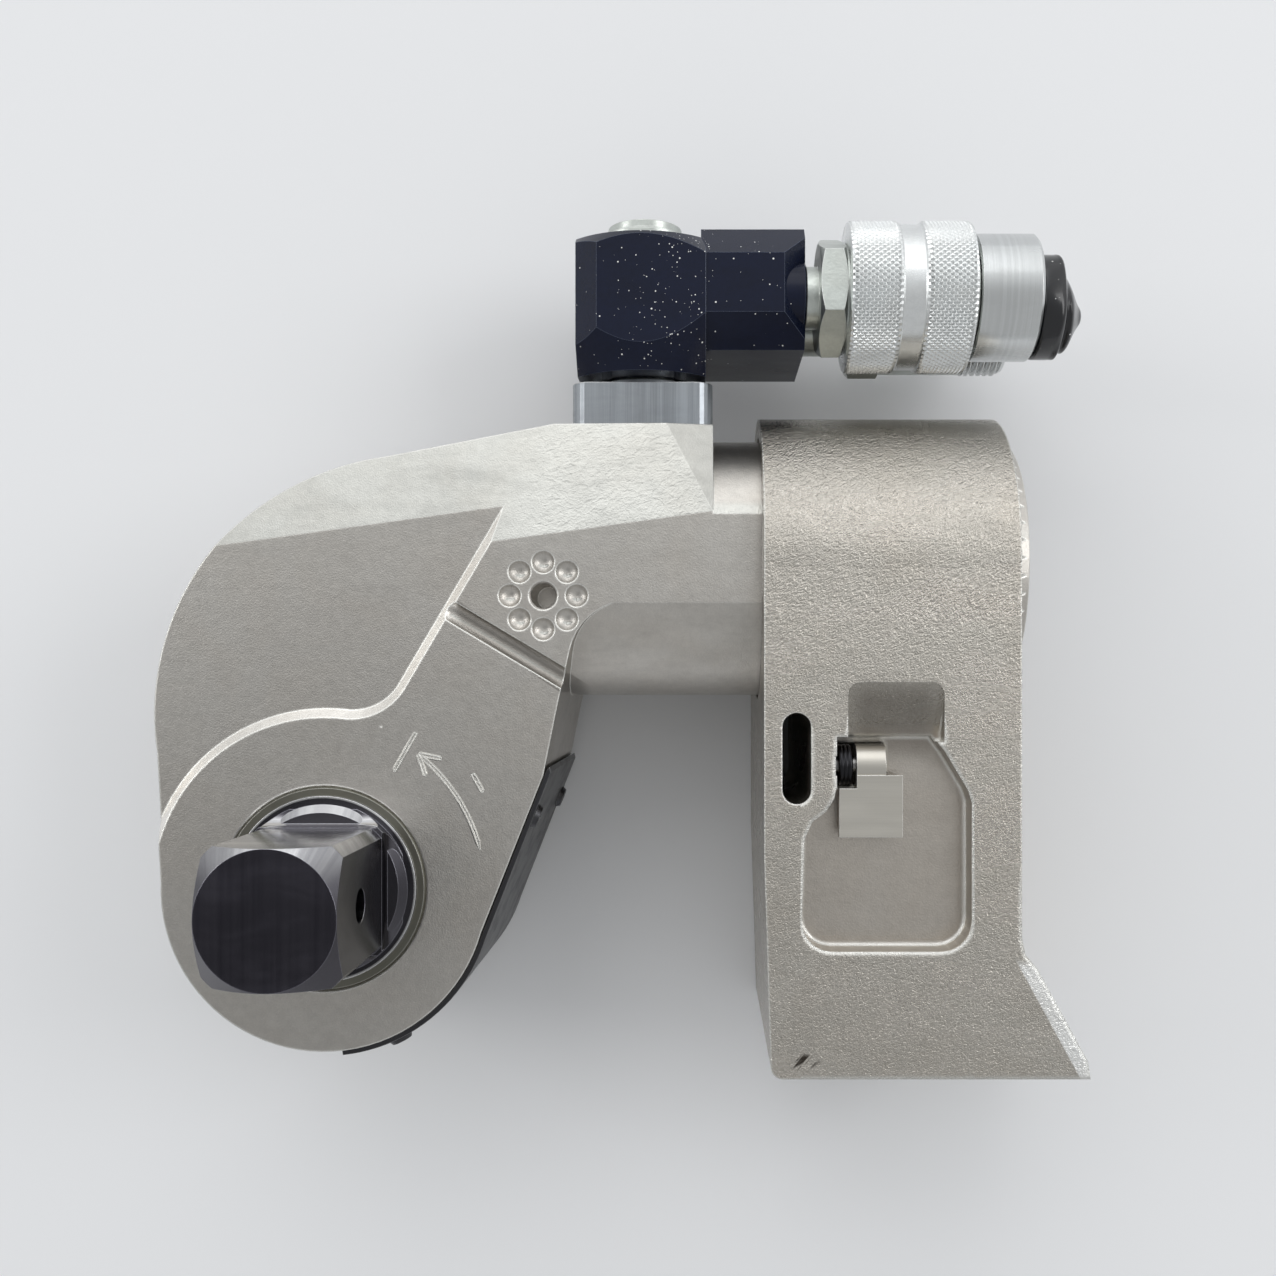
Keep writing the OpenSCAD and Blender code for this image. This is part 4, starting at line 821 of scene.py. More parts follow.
class ArmSkin:
    """Finish of the reaction arm: rough casting with a milled pocket and painted shade on the ramp above the
    lever.
    """

    sleeve_y: float = 67.0
    sleeve_z: float = -27.0
    bore: Flat = (30.8, 31.2)
    face_z: float = 5.8
    pocket_rise: float = 0.4
    pocket_left: Flat = (96.0, 96.4)
    pocket_right: Flat = (130.8, 130.4)
    pocket_top: Flat = (34.0, 31.0)
    pocket_foot: Flat = (-12.6, -12.0)
    pocket_colour: Colour = linear(0.77, 0.745, 0.71)
    glint_colour: Colour = linear(0.95, 0.94, 0.92)
    ripple_y: float = 30.0
    ramp_shade_tint: Colour = (0.55, 0.54, 0.53)
    scuff_place: Point = (48.3, -33.2, 0.0)
    scuff_tint: Colour = (0.12, 0.11, 0.1)
    toe_normal: Point = (0.877, 0.478, 0.0)
    toe_offset: float = 117.0
    toe_colour: Colour = linear(0.99, 0.99, 0.98)

    def build(self, effects: Effects) -> bpy.types.Material:
        """Makes the arm's material.

        Args:
            effects: The shared shader groups.

        Returns:
            The new material.
        """
        skin = Skin(CAST_STEEL, effects)
        graph = skin.graph
        x, y, z = graph.parts(graph.place())
        radius = graph.vector("LENGTH", graph.joined(
            0.0, graph.math("SUBTRACT", y, self.sleeve_y), graph.math("ADD", z, -self.sleeve_z)))
        outside = graph.remap(radius, *self.bore)
        near_front = graph.remap(z, self.face_z - self.pocket_rise, self.face_z - 0.1)
        within = graph.times(graph.remap(x, *self.pocket_left), graph.remap(x, *self.pocket_right))
        front = graph.times(graph.remap(z, -1.0, -0.6), graph.times(graph.remap(y, *self.pocket_top), within))
        pocket = graph.times(graph.rest_of(near_front), front, graph.remap(y, *self.pocket_foot))
        cast = graph.times(outside, graph.rest_of(pocket))
        high = graph.remap(y, self.ripple_y, self.ripple_y + 30.0)
        ripple = graph.effect(effects.peel, Size=1.0, Lean=0.6)
        grain = graph.effect(effects.peel, Size=0.5, Lean=0.3)
        rise = graph.math("MULTIPLY_ADD", high, 0.16, 0.1)
        skin.raise_by(ripple.outputs["Height"], graph.times(cast, rise))
        skin.raise_by(grain.outputs["Height"], graph.times(cast, 0.15))
        glint = graph.times(cast, graph.times(grain.outputs["Glint"], 0.14))
        skin.colour = graph.blend(glint, CAST_STEEL.colour, self.glint_colour)
        milled = graph.effect(effects.lines, Pitch=0.4, Place=graph.joined(y, x, 0.0))
        skin.raise_by(milled.outputs["Height"], graph.times(pocket, 0.01))
        skin.colour = graph.blend(pocket, skin.colour, self.pocket_colour)
        self.shade_ramp(skin, x, y, near_front)
        self.add_scuff(skin, x, y)
        skin.rough = graph.math("MULTIPLY_ADD", pocket, 0.04, CAST_STEEL.rough)
        # Wider edges on the pocket's front and on the flare, which widens their painted edge highlight;
        # almost no edge round the ramp.
        flare = graph.times(graph.remap(x, 128.0, 134.0), graph.remap(y, 6.0, 0.0))
        around = graph.times(graph.remap(x, 101.0, 104.0), graph.remap(x, 130.0, 127.0),
                             graph.remap(y, 34.0, 36.0))
        soft = graph.math("MULTIPLY_ADD", around, -0.9, 1.0)
        wide = graph.math("MULTIPLY_ADD", graph.math("ADD", front, flare), 0.9, CAST_STEEL.edge_radius)
        skin.radius = graph.times(soft, wide)
        # A near-white strip coloured onto the toe's chamfer.
        across = graph.vector("DOT_PRODUCT", graph.joined(x, y, 0.0), self.toe_normal)
        brighter_zone = graph.times(graph.remap(across, self.toe_offset - 1.7, self.toe_offset - 1.4),
                             graph.times(graph.remap(y, -12.5, -15.0), graph.remap(z, 3.0, 4.5)))
        skin.colour = graph.blend(brighter_zone, skin.colour, self.toe_colour)
        skin.finish_up()
        return skin.material

    def shade_ramp(self, skin: Skin, x: Socket, y: Socket, near_front: Socket) -> None:
        """Paints shade into the hollow ramp above the lever.

        Args:
            skin: Skin to change.
            x: Place along the cylinder.
            y: Place up the arm.
            near_front: Where the surface is near the arm's front.
        """
        graph = skin.graph
        sides = graph.times(graph.remap(x, 103.0, 110.0), graph.remap(x, 127.0, 120.0))
        ends = graph.times(graph.remap(y, 45.0, 38.0), graph.remap(y, 24.0, 30.0))
        skin.tint(graph.times(sides, ends, graph.rest_of(graph.times(near_front, 0.5))), self.ramp_shade_tint)

    def add_scuff(self, skin: Skin, x: Socket, y: Socket) -> None:
        """Adds the dark scuff at the foot's corner.

        Args:
            skin: Skin to change.
            x: Place along the cylinder.
            y: Place up the arm.
        """
        graph = skin.graph
        spot = graph.vector("DISTANCE", graph.joined(graph.times(x, 0.5), y, 0.0), self.scuff_place)
        slanted = graph.joined(graph.times(x, 0.4), graph.math("SUBTRACT", y, x), 0.0)
        smear = graph.noise(slanted, 0.5)
        skin.tint(graph.times(graph.remap(spot, 2.0, 0.9), graph.remap(smear, 0.53, 0.6)), self.scuff_tint)


class DriveSkin:
    """Finish of the square drive: dark all over, with a painted reflection on its top side, painted shade on
    its +X side, a painted highlight on the rim and a painted sheen on its end.
    """

    rim_radius: float = 18.3
    top_reflection_low: Colour = linear(0.74, 0.74, 0.75)
    top_reflection_high: Colour = linear(0.97, 0.97, 0.97)
    end_colour: Colour = linear(0.43, 0.42, 0.46)
    end_sheen_tint: Colour = (0.7, 0.7, 0.72)
    shaded_side_tint: Colour = (0.45, 0.45, 0.47)
    rim_highlight_colour: Colour = linear(0.95, 0.95, 0.95)

    def build(self, effects: Effects) -> bpy.types.Material:
        """Makes the drive's material.

        Args:
            effects: The shared shader groups.

        Returns:
            The new material.
        """
        skin = Skin(BLACK_OXIDE, effects)
        graph = skin.graph
        x, y, z = graph.parts(graph.place())
        face_x, face_y, face_z = graph.parts(graph.facing())
        # Painted reflection: faces turned towards +Y are coloured light, in streaked bands.
        top = graph.remap(face_y, 0.3, 0.8)
        streaks = graph.effect(effects.lines, Pitch=0.9, Place=graph.joined(graph.math("ADD", y, z), x, 0.0))
        brighter_zone = graph.blend(graph.remap(streaks.outputs["Tone"], 0.35, 0.65), self.top_reflection_low,
                             self.top_reflection_high)
        skin.colour = graph.blend(top, BLACK_OXIDE.colour, brighter_zone)
        end = graph.math("MULTIPLY", graph.remap(face_z, 0.9, 0.99), graph.remap(z, 5.0, 8.0))
        skin.colour = graph.blend(end, skin.colour, self.end_colour)
        # Painted shade on the drive's +X side.
        skin.tint(graph.remap(face_x, 0.6, 0.9), self.shaded_side_tint)
        # Painted highlight: a light ring on the shoulder's rim.
        radius = graph.vector("LENGTH", graph.joined(x, y, 0.0))
        rim = graph.math("MULTIPLY", graph.remap(radius, self.rim_radius, self.rim_radius + 0.2),
                         graph.remap(z, -1.0, -0.5))
        skin.colour = graph.blend(rim, skin.colour, self.rim_highlight_colour)
        # Painted sheen: light and dark bands across the end face.
        sheen = graph.effect(effects.lines, Pitch=1.6, Place=graph.joined(x, y, 0.0))
        skin.tint(graph.times(end, graph.remap(sheen.outputs["Tone"], 0.4, 0.6)), self.end_sheen_tint)
        skin.rough = graph.math("MULTIPLY_ADD", top, -0.06, BLACK_OXIDE.rough)
        skin.finish_up()
        return skin.material


class BlockSkin:
    """Finish of the swivel block: black anodising with dust on its hub."""

    hub_x: float = 64.0

    def build(self, effects: Effects) -> bpy.types.Material:
        """Makes the block's material.

        Args:
            effects: The shared shader groups.

        Returns:
            The new material.
        """
        skin = Skin(ANODISED, effects)
        graph = skin.graph
        x, _, _ = graph.parts(graph.place())
        _, _, face_z = graph.parts(graph.facing())
        top = graph.remap(face_z, 0.2, 0.6, 0.05, 1.0)
        near = graph.remap(x, self.hub_x - 12.0, self.hub_x + 12.0, 0.1, 1.0)
        past = graph.remap(x, self.hub_x + 13.0, self.hub_x + 16.0, 1.0, 0.15)
        skin.finish_up(graph.math("MULTIPLY", top, graph.math("MULTIPLY", near, past)))
        return skin.material


Coating = Finish | HeadSkin | ArmSkin | DriveSkin | BlockSkin


@dataclass(frozen=True)
class Axis:
    """A line to turn shapes about: a start, the direction along it and two across."""

    start: Point
    along: Point = (1.0, 0.0, 0.0)
    side: Point = (0.0, 1.0, 0.0)

    def at(self, step: float, radius: float, angle: float) -> Vector:
        """Finds a point round the line.

        Args:
            step: Distance along the line.
            radius: Distance from it.
            angle: Turn about it from the side direction, in radians.

        Returns:
            The point.
        """
        along, side = Vector(self.along), Vector(self.side)
        other = along.cross(side)
        return Vector(self.start) + along * step + (side * math.cos(angle) + other * math.sin(angle)) * radius


def rounded(outline: Sequence[Flat], radius: float, steps: int = 3) -> list[Flat]:
    """Rounds the inner corners of an open outline.

    Args:
        outline: Points of the outline.
        radius: Largest radius of a corner.
        steps: Pieces in each corner.

    Returns:
        The outline with its corners rounded.
    """
    made = [outline[0]]
    for before, here, after in zip(outline, outline[1:], outline[2:]):
        back, ahead = Vector(before) - Vector(here), Vector(after) - Vector(here)
        reach = min(radius, back.length * 0.45, ahead.length * 0.45)
        start, end = back.normalized() * reach, ahead.normalized() * reach
        for step in range(steps + 1):
            share = step / steps
            point = Vector(here) + start * (1 - share) ** 2 + end * share ** 2
            made.append((point.x, point.y))
    made.append(outline[-1])
    return made


def new_piece(name: str, points: Sequence[Sequence[float]], faces: Sequence[Sequence[int]],
              sharp_angle: float = 35.0) -> bpy.types.Object:
    """Makes a mesh object and puts it in the scene.

    Args:
        name: Name of the piece.
        points: Its points.
        faces: Its faces as rows of point numbers.
        sharp_angle: Edges that bend more than this stay sharp, in degrees.

    Returns:
        The new object.
    """
    mesh = bpy.data.meshes.new(name)
    mesh.from_pydata([tuple(p) for p in points], [], [tuple(f) for f in faces])
    mesh.validate()
    mesh.polygons.foreach_set("use_smooth", [True] * len(mesh.polygons))
    mesh.set_sharp_from_angle(angle=math.radians(sharp_angle))
    piece = bpy.data.objects.new(name, mesh)
    bpy.context.scene.collection.objects.link(piece)
    return piece


def ring_faces(rows: int, count: int) -> list[tuple[int, int, int, int]]:
    """Joins rows of points round an axis, each to the next.

    Args:
        rows: Number of rows.
        count: Points in each row.

    Returns:
        The faces.
    """
    return [
        (row * count + i, row * count + (i + 1) % count,
         (row + 1) * count + (i + 1) % count, (row + 1) * count + i)
        for row in range(rows - 1) for i in range(count)
    ]


def turned_piece(name: str, axis: Axis, outline: Sequence[Flat], count: int = 96, closed: bool = False,
                 swell: Callable[[float, float, float], float] | None = None) -> bpy.types.Object:
    """Turns an outline about an axis.

    Args:
        name: Name of the piece.
        axis: Axis to turn about.
        outline: Steps along the axis with their radii.
        count: Points round the axis.
        closed: Whether the last row joins the first, as on a ring.
        swell: Gives the radius for a step, a radius and an angle.

    Returns:
        The new object.
    """
    points = []
    for step, radius in outline:
        for i in range(count):
            angle = 2 * math.pi * i / count
            points.append(axis.at(step, swell(step, radius, angle) if swell else radius, angle))
    faces = ring_faces(len(outline), count)
    if closed:
        last = (len(outline) - 1) * count
        faces += [(last + i, last + (i + 1) % count, (i + 1) % count, i) for i in range(count)]
    else:
        faces.append(tuple(reversed(range(count))))
        faces.append(tuple(range((len(outline) - 1) * count, len(outline) * count)))
    return new_piece(name, points, [tuple(reversed(f)) for f in faces])


def wire_piece(name: str, path: Sequence[Vector], radius: float, count: int = 12) -> bpy.types.Object:
    """Sweeps a round wire along a path, with closed ends.

    Args:
        name: Name of the piece.
        path: Points of the wire's middle.
        radius: Radius of the wire.
        count: Points round the wire.

    Returns:
        The new object.
    """
    points, side = [], None
    for i, here in enumerate(path):
        ahead = (path[min(i + 1, len(path) - 1)] - path[max(i - 1, 0)]).normalized()
        side = ahead.orthogonal() if side is None else side - ahead * side.dot(ahead)
        side.normalize()
        other = ahead.cross(side)
        for k in range(count):
            angle = 2 * math.pi * k / count
            points.append(here + (side * math.cos(angle) + other * math.sin(angle)) * radius)
    faces = ring_faces(len(path), count)
    faces.append(tuple(reversed(range(count))))
    faces.append(tuple(range((len(path) - 1) * count, len(path) * count)))
    return new_piece(name, points, faces, 50.0)


@dataclass
class Workshop:
    """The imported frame, the finished materials and the pieces made so far."""

    frame: dict
    effects: Effects
    materials: dict[str, bpy.types.Material] = field(default_factory=dict)

    def material(self, finish: Coating) -> bpy.types.Material:
        """Gives a finish's material, made on first use.

        Args:
            finish: The finish.

        Returns:
            Its material.
        """
        key = getattr(finish, "name", type(finish).__name__)
        if key not in self.materials:
            self.materials[key] = finish.build(self.effects)
        return self.materials[key]

    def dress(self, finish: Coating, *nodes: str) -> None:
        """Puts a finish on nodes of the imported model.

        Args:
            finish: The finish.
            *nodes: Names of the nodes.
        """
        for name in nodes:
            mesh = self.frame["nodes"][name].data
            mesh.materials.clear()
            mesh.materials.append(self.material(finish))
            LOG.info("dressed %s as %s", name, self.material(finish).name)

    def add(self, piece: bpy.types.Object, finish: Coating, body: str, slot: Slot,
            *stands_for: str) -> None:
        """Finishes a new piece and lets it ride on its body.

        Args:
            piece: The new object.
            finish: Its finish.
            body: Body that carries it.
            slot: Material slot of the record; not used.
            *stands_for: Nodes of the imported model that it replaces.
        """
        piece.data.materials.append(self.material(finish))
        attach(piece, body)
        if stands_for:
            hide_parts(*stands_for)
        LOG.info("made %s on %s, %d faces", piece.name, body, len(piece.data.polygons))


@dataclass
class Head:
    """Head with its cylinder, cover, bushes and the marks on its face."""

    shop: Workshop
    face_z: float = -0.5 * MM
    groove_half: float = 0.3 * MM
    burr_half: float = 0.62 * MM
    burr_rise: float = 0.11 * MM
    sunk: float = 0.03 * MM

    def dress(self) -> None:
        """Finishes the nodes of the head."""
        self.shop.dress(HeadSkin(), "housing")
        self.shop.dress(BRONZE, "front_bush", "rear_bush", "rod_gland")
        self.shop.dress(DARK_STEEL, "shroud", "shroud_screws")
        self.shop.dress(SEAL_RUBBER, "rod_seal", "cap_seal")
        self.shop.dress(MACHINED, "end_cap")

    def stroke(self, name: str, path: Sequence[Flat]) -> bpy.types.Object:
        """Makes one cut line with the burr that the graver throws up on both sides.

        Args:
            name: Name of the piece.
            path: Middle of the line on the face, in metres.

        Returns:
            The new object.
        """
        cross = ((-1.0, -1.0), (-1.0, 0.0), (-0.5, 1.0), (0.0, 0.05), (0.5, 1.0), (1.0, 0.0), (1.0, -1.0))
        points, last = [], len(path) - 1
        for i, here in enumerate(path):
            ahead = Vector(path[min(i + 1, last)]) - Vector(path[max(i - 1, 0)])
            ahead.normalize()
            side = Vector((-ahead.y, ahead.x))
            taper = 0.35 if i in (0, last) else 1.0
            for across, rise in cross:
                spot = Vector(here) + side * across * self.burr_half * taper
                height = rise * (self.burr_rise if rise > 0 else self.sunk)
                points.append((spot.x, spot.y, self.face_z + height))
        count = len(cross)
        faces = ring_faces(last + 1, count)
        faces.append(tuple(range(count)))
        faces.append(tuple(reversed(range(last * count, (last + 1) * count))))
        return new_piece(name, points, [tuple(reversed(f)) for f in faces], 25.0)

    def arrow(self) -> None:
        """Cuts the turning arrow and its two ticks into the face."""
        tail, tip = Vector((31.7, 7.9)) * MM, Vector((19.1, 27.3)) * MM
        bow = Vector((28.4, 19.9)) * MM
        shaft = []
        for step in range(15):
            share = step / 14
            spot = tail * (1 - share) ** 2 + bow * 2 * share * (1 - share) + tip * share ** 2
            shaft.append((spot.x, spot.y))
        lines = {
            "arrow_shaft": shaft,
            "arrow_barb_left": [tuple(tip), tuple(Vector((20.7, 22.8)) * MM)],
            "arrow_barb_right": [tuple(tip), tuple(Vector((23.9, 26.3)) * MM)],
            "stop_tick": [(18.8 * MM, 31.8 * MM), (14.2 * MM, 23.7 * MM)],
            "start_tick": [(30.1 * MM, 23.4 * MM), (32.3 * MM, 19.5 * MM)],
        }
        for name, path in lines.items():
            first, final = Vector(path[0]), Vector(path[-1])
            if len(path) == 2:
                path = [tuple(first.lerp(final, share)) for share in (0.0, 0.06, 0.94, 1.0)]
            self.shop.add(self.stroke(name, path), HEAD_STEEL, "head", Slot.HEAD)

    def build(self) -> None:
        """Dresses the head and adds its marks."""
        self.dress()
        self.arrow()


@dataclass
class DriveTrain:
    """Everything that turns or slides inside the head, and the drive itself."""

    shop: Workshop

    def build(self) -> None:
        """Finishes the nodes of the drive train."""
        self.shop.dress(DriveSkin(), "square_drive")
        self.shop.dress(DARK_STEEL, "retainer_cap", "drive_pawl", "rod_pin", "spacer_pins")
        self.shop.dress(MACHINED, "ratchet_wheel", "release_button", "piston_head", "drive_plate_front",
                        "drive_plate_back", "lever_spacer")
        self.shop.dress(BRIGHT_TURNED, "piston_rod")
        self.shop.dress(SEAL_RUBBER, "piston_seal")
        self.shop.dress(SPRING_STEEL, "pawl_spring", "button_spring")


@dataclass
class ReactionArm:
    """Sliding arm with its sprung lock lever."""

    shop: Workshop
    wire_radius: float = 0.6 * MM
    turns: float = 3.0
    steps_per_turn: int = 28
    leg: float = 4.2 * MM

    def spring(self) -> bpy.types.Object:
        """Winds the torsion spring beside the lever's knuckle.

        Returns:
            The new object.
        """
        low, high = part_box("lever_spring")
        middle = (low + high) / 2
        radius = (high.y - low.y) / 2 - self.wire_radius
        start_x, end_x = high.x - self.wire_radius, low.x + self.wire_radius
        axis = Axis((0.0, middle.y, middle.z))
        count = int(self.turns * self.steps_per_turn)
        coil = []
        for step in range(count + 1):
            share = step / count
            angle = -math.pi / 2 - share * self.turns * 2 * math.pi
            coil.append(axis.at(start_x + (end_x - start_x) * share, radius, angle))
        first_leg = coil[0] + Vector((0.0, -self.leg, 0.0))
        last_leg = coil[-1] + Vector((0.0, -self.leg * 1.2, 0.0))
        return wire_piece("lever_torsion_spring", [first_leg, *coil, last_leg], self.wire_radius)

    def build(self) -> None:
        """Finishes the nodes of the arm and adds its spring."""
        self.shop.dress(ArmSkin(), "reaction_arm")
        self.shop.dress(LEVER_STEEL, "lock_lever")
        self.shop.dress(MACHINED, "lever_pin", "lock_plunger")
        self.shop.add(self.spring(), SPRING_STEEL, "arm", Slot.SPRING, "lever_spring")


@dataclass
class Swivel:
    """Swivelling block on its post."""

    shop: Workshop

    def build(self) -> None:
        """Finishes the nodes of the swivel."""
        self.shop.dress(BRIGHT_MILLED, "swivel_base")
        self.shop.dress(DARK_STEEL, "base_screws")
        self.shop.dress(BRIGHT_HEXAGON, "swivel_post", "post_ring")
        self.shop.dress(SEAL_RUBBER, "post_seals")
        self.shop.dress(BlockSkin(), "swivel_block")


@dataclass
class Couplings:
    """Two screw couplings with their collar, noses and dust plug."""

    shop: Workshop
    knurl_count: int = 78
    knurl_rows: int = 6
    knurl_depth: float = 0.42 * MM
    band_share: float = 0.41
    chamfer: float = 0.6 * MM
    thread_length: float = 9.2 * MM
    thread_pitch: float = 1.5 * MM
    thread_depth: float = 0.85 * MM
    thread_lead: float = 0.9 * MM
    thread_steps: int = 84
    mouth_edge: float = 0.4 * MM
    collar_bore: float = 11.1 * MM
    groove_depth: float = 0.75 * MM
    boss_edge: float = 0.3 * MM
    plug_droop: float = 2.0 * MM
    boss_radius: float = 7.3 * MM
    boss_bore: float = 5.75 * MM
    boss_length: float = 6.0 * MM

    def knurl_band(self, axis: Axis, start: float, end: float, outer: float, points: list,
                   faces: list) -> None:
        """Adds one knurled band of flat-topped diamonds.

        Args:
            axis: Axis of the collar.
            start: Where the diamonds begin.
            end: Where they end.
            outer: Radius over the diamonds.
            points: List of points to add to.
            faces: List of faces to add to.
        """
        count, rows = 2 * self.knurl_count, 2 * self.knurl_rows
        first = len(points)
        valley = outer - self.knurl_depth

        def spot(row: int, i: int, radius: float) -> Vector:
            """Returns a point of the band's grid."""
            return axis.at(start + (end - start) * row / rows, radius, math.pi * 2 * i / count)

        for row in range(rows + 1):
            for i in range(count):
                points.append(spot(row, i, outer - 0.04 * MM if (row + i) % 2 == 0 else valley))

        def number(row: int, i: int) -> int:
            """Returns the number of a point of the band's grid."""
            return first + row * count + i % count

        for row in range(rows + 1):
            for i in range(row % 2, count, 2):
                corners = [(row - 1, i), (row, i + 1), (row + 1, i), (row, i - 1)]
                inside = [c for c in corners if 0 <= c[0] <= rows]
                if len(inside) == 4:
                    base = len(points)
                    for corner_row, corner_i in corners:
                        points.append(axis.at(
                            start + (end - start) * (row + (corner_row - row) * 0.3) / rows, outer,
                            math.pi * 2 * (i + (corner_i - i) * 0.3) / count))
                    faces.append(tuple(base + k for k in range(4)))
                    for k in range(4):
                        low, high = corners[k], corners[(k + 1) % 4]
                        faces.append((number(*low), number(*high), base + (k + 1) % 4, base + k))
                elif row == 0:
                    faces.append((number(row, i - 1), number(row + 1, i), number(row, i)))
                    faces.append((number(row, i), number(row + 1, i), number(row, i + 1)))
                else:
                    faces.append((number(row, i), number(row - 1, i), number(row, i - 1)))
                    faces.append((number(row, i + 1), number(row - 1, i), number(row, i)))

    def collar(self) -> bpy.types.Object:
        """Makes the collar with two knurled bands and a plain groove.

        Returns:
            The new object.
        """
        low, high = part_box("front_collar")
        outer = (high.y - low.y) / 2
        length = high.x - low.x
        axis = Axis((low.x, (low.y + high.y) / 2, (low.z + high.z) / 2))
        band = self.band_share * length
        bore = self.collar_bore
        count = 2 * self.knurl_count
        rim = outer - self.chamfer
        groove = outer - self.groove_depth
        points: list = []
        faces: list = []
        self.knurl_band(axis, self.chamfer, band - self.chamfer, outer, points, faces)
        second = len(points)
        self.knurl_band(axis, length - band + self.chamfer, length - self.chamfer, outer, points, faces)
        band_last = 2 * self.knurl_rows * count
        chains = (
            (0, [(0.15 * MM, rim + 0.25 * MM), (0.0, rim - 0.2 * MM), (0.0, bore)]),
            (band_last, [(band - 0.15 * MM, rim + 0.3 * MM), (band, rim), (band + 0.2 * MM, groove)]),
            (second, [(length - band + 0.15 * MM, rim + 0.3 * MM), (length - band, rim),
                      (length - band - 0.2 * MM, groove)]),
            (second + band_last, [(length - 0.15 * MM, rim + 0.25 * MM), (length, rim - 0.2 * MM),
                                  (length, bore)]),
        )
        ends = []
        for index, (row_start, outline) in enumerate(chains):
            before = row_start
            for step, radius in outline:
                here = len(points)
                points.extend(axis.at(step, radius, 2 * math.pi * i / count) for i in range(count))
                for i in range(count):
                    quad = (before + i, before + (i + 1) % count, here + (i + 1) % count, here + i)
                    faces.append(quad if index in (1, 3) else tuple(reversed(quad)))
                before = here
            ends.append(before)
        for first, last in ((ends[1], ends[2]), (ends[3], ends[0])):
            faces += [(first + i, first + (i + 1) % count, last + (i + 1) % count, last + i)
                      for i in range(count)]
        return new_piece("knurled_collar", points, [tuple(reversed(f)) for f in faces], 24.0)

    def plug(self) -> bpy.types.Object:
        """Makes the rubber plug: waved rings that close in a point.

        Returns:
            The new object.
        """
        low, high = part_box("dust_plug")
        nose_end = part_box("front_nose")[1].x
        radius = (high.y - low.y) / 2
        axis = Axis((nose_end, (low.y + high.y) / 2, (low.z + high.z) / 2))
        reach = high.x - nose_end
        stem = 0.8 * radius
        shares = ((0.0, 0.95), (0.03, 1.0), (0.38, 1.0), (0.45, 0.97), (0.5, 0.85), (0.53, 0.75),
                  (0.57, 0.73), (0.62, 0.72), (0.68, 0.66), (0.75, 0.53), (0.83, 0.37), (0.9, 0.25),
                  (0.95, 0.19), (0.985, 0.13), (1.0, 0.03))
        outline = [(-8.0 * MM, stem - 0.4 * MM), (-7.6 * MM, stem), (0.3 * MM, stem)]
        outline += [(0.3 * MM + (reach - 0.3 * MM) * step, radius * wide) for step, wide in shares]

        def swell(step: float, wide: float, angle: float) -> float:
            """Waves the plug's rings.

            Args:
                step: Distance along the axis.
                wide: Radius of the outline.
                angle: Turn about the axis, in radians.

            Returns:
                The radius there.
            """
            share = max(0.0, step / reach)
            fade = math.sin(math.pi * min(1.0, share * 1.15)) ** 2 if 0 < share < 0.87 else 0.0
            wave = math.sin(5 * angle + 9.0 * share) * 0.028 + math.sin(3 * angle - 14.0 * share) * 0.03
            return wide * (1 + fade * wave)

        plug = turned_piece("rubber_dust_plug", axis, rounded(outline, 0.5 * MM), 128, swell=swell)
        for corner in plug.data.vertices:
            share = (corner.co.x - nose_end) / reach
            if share > 0:
                bend = min(1.0, max(0.0, (share - 0.4) / 0.3))
                corner.co.y -= self.plug_droop * (1 + bend * bend * (3 - 2 * bend))
        return plug

    def threaded_nose(self) -> bpy.types.Object:
        """Makes the rear nose with its screw thread and open mouth.

        Returns:
            The new object.
        """
        low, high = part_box("rear_nose")
        outer = (high.y - low.y) / 2
        face = high.x - self.thread_length
        axis = Axis((0.0, (low.y + high.y) / 2, (low.z + high.z) / 2))
        mouth, stem = 0.55 * outer, 0.8 * outer
        outline = [(face - 6.0 * MM, mouth), (low.x, mouth), (low.x, stem), (face, stem),
                   (face, outer * 0.93)]
        screwed = high.x - face - self.thread_lead
        outline += [(face + 0.05 * MM + screwed * i / self.thread_steps, outer)
                    for i in range(self.thread_steps + 1)]
        outline += [(high.x, outer - self.thread_lead), (high.x, mouth + self.mouth_edge),
                    (high.x - self.mouth_edge, mouth)]

        def swell(step: float, wide: float, angle: float) -> float:
            """Cuts the thread into the nose.

            Args:
                step: Distance along the axis.
                wide: Radius of the outline.
                angle: Turn about the axis, in radians.

            Returns:
                The radius there.
            """
            if wide < outer * 0.999:
                return wide
            phase = (step / self.thread_pitch - angle / (2 * math.pi)) % 1.0
            dip = max(0.0, 1 - abs(phase - 0.5) * 2.6)
            run_in = min(1.0, (step - face) / (1.4 * MM))
            return wide - self.thread_depth * dip * run_in

        return turned_piece("threaded_nose", axis, outline, 96, closed=True, swell=swell)

    def boss(self, fitting: str) -> bpy.types.Object:
        """Makes the rim of a port, which keeps the thread closed where the block's end is chamfered.

        Args:
            fitting: Node that is screwed into the port.

        Returns:
            The new object.
        """
        low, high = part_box(fitting)
        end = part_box("swivel_block")[1].x + 0.03 * MM
        axis = Axis((0.0, (low.y + high.y) / 2, (low.z + high.z) / 2))
        outer, bore, edge = self.boss_radius, self.boss_bore, self.boss_edge
        outline = [(end - self.boss_length, bore), (end - self.boss_length, outer), (end - edge, outer),
                   (end, outer - edge), (end, bore)]
        return turned_piece(f"{fitting}_port_rim", axis, outline, 64, closed=True)

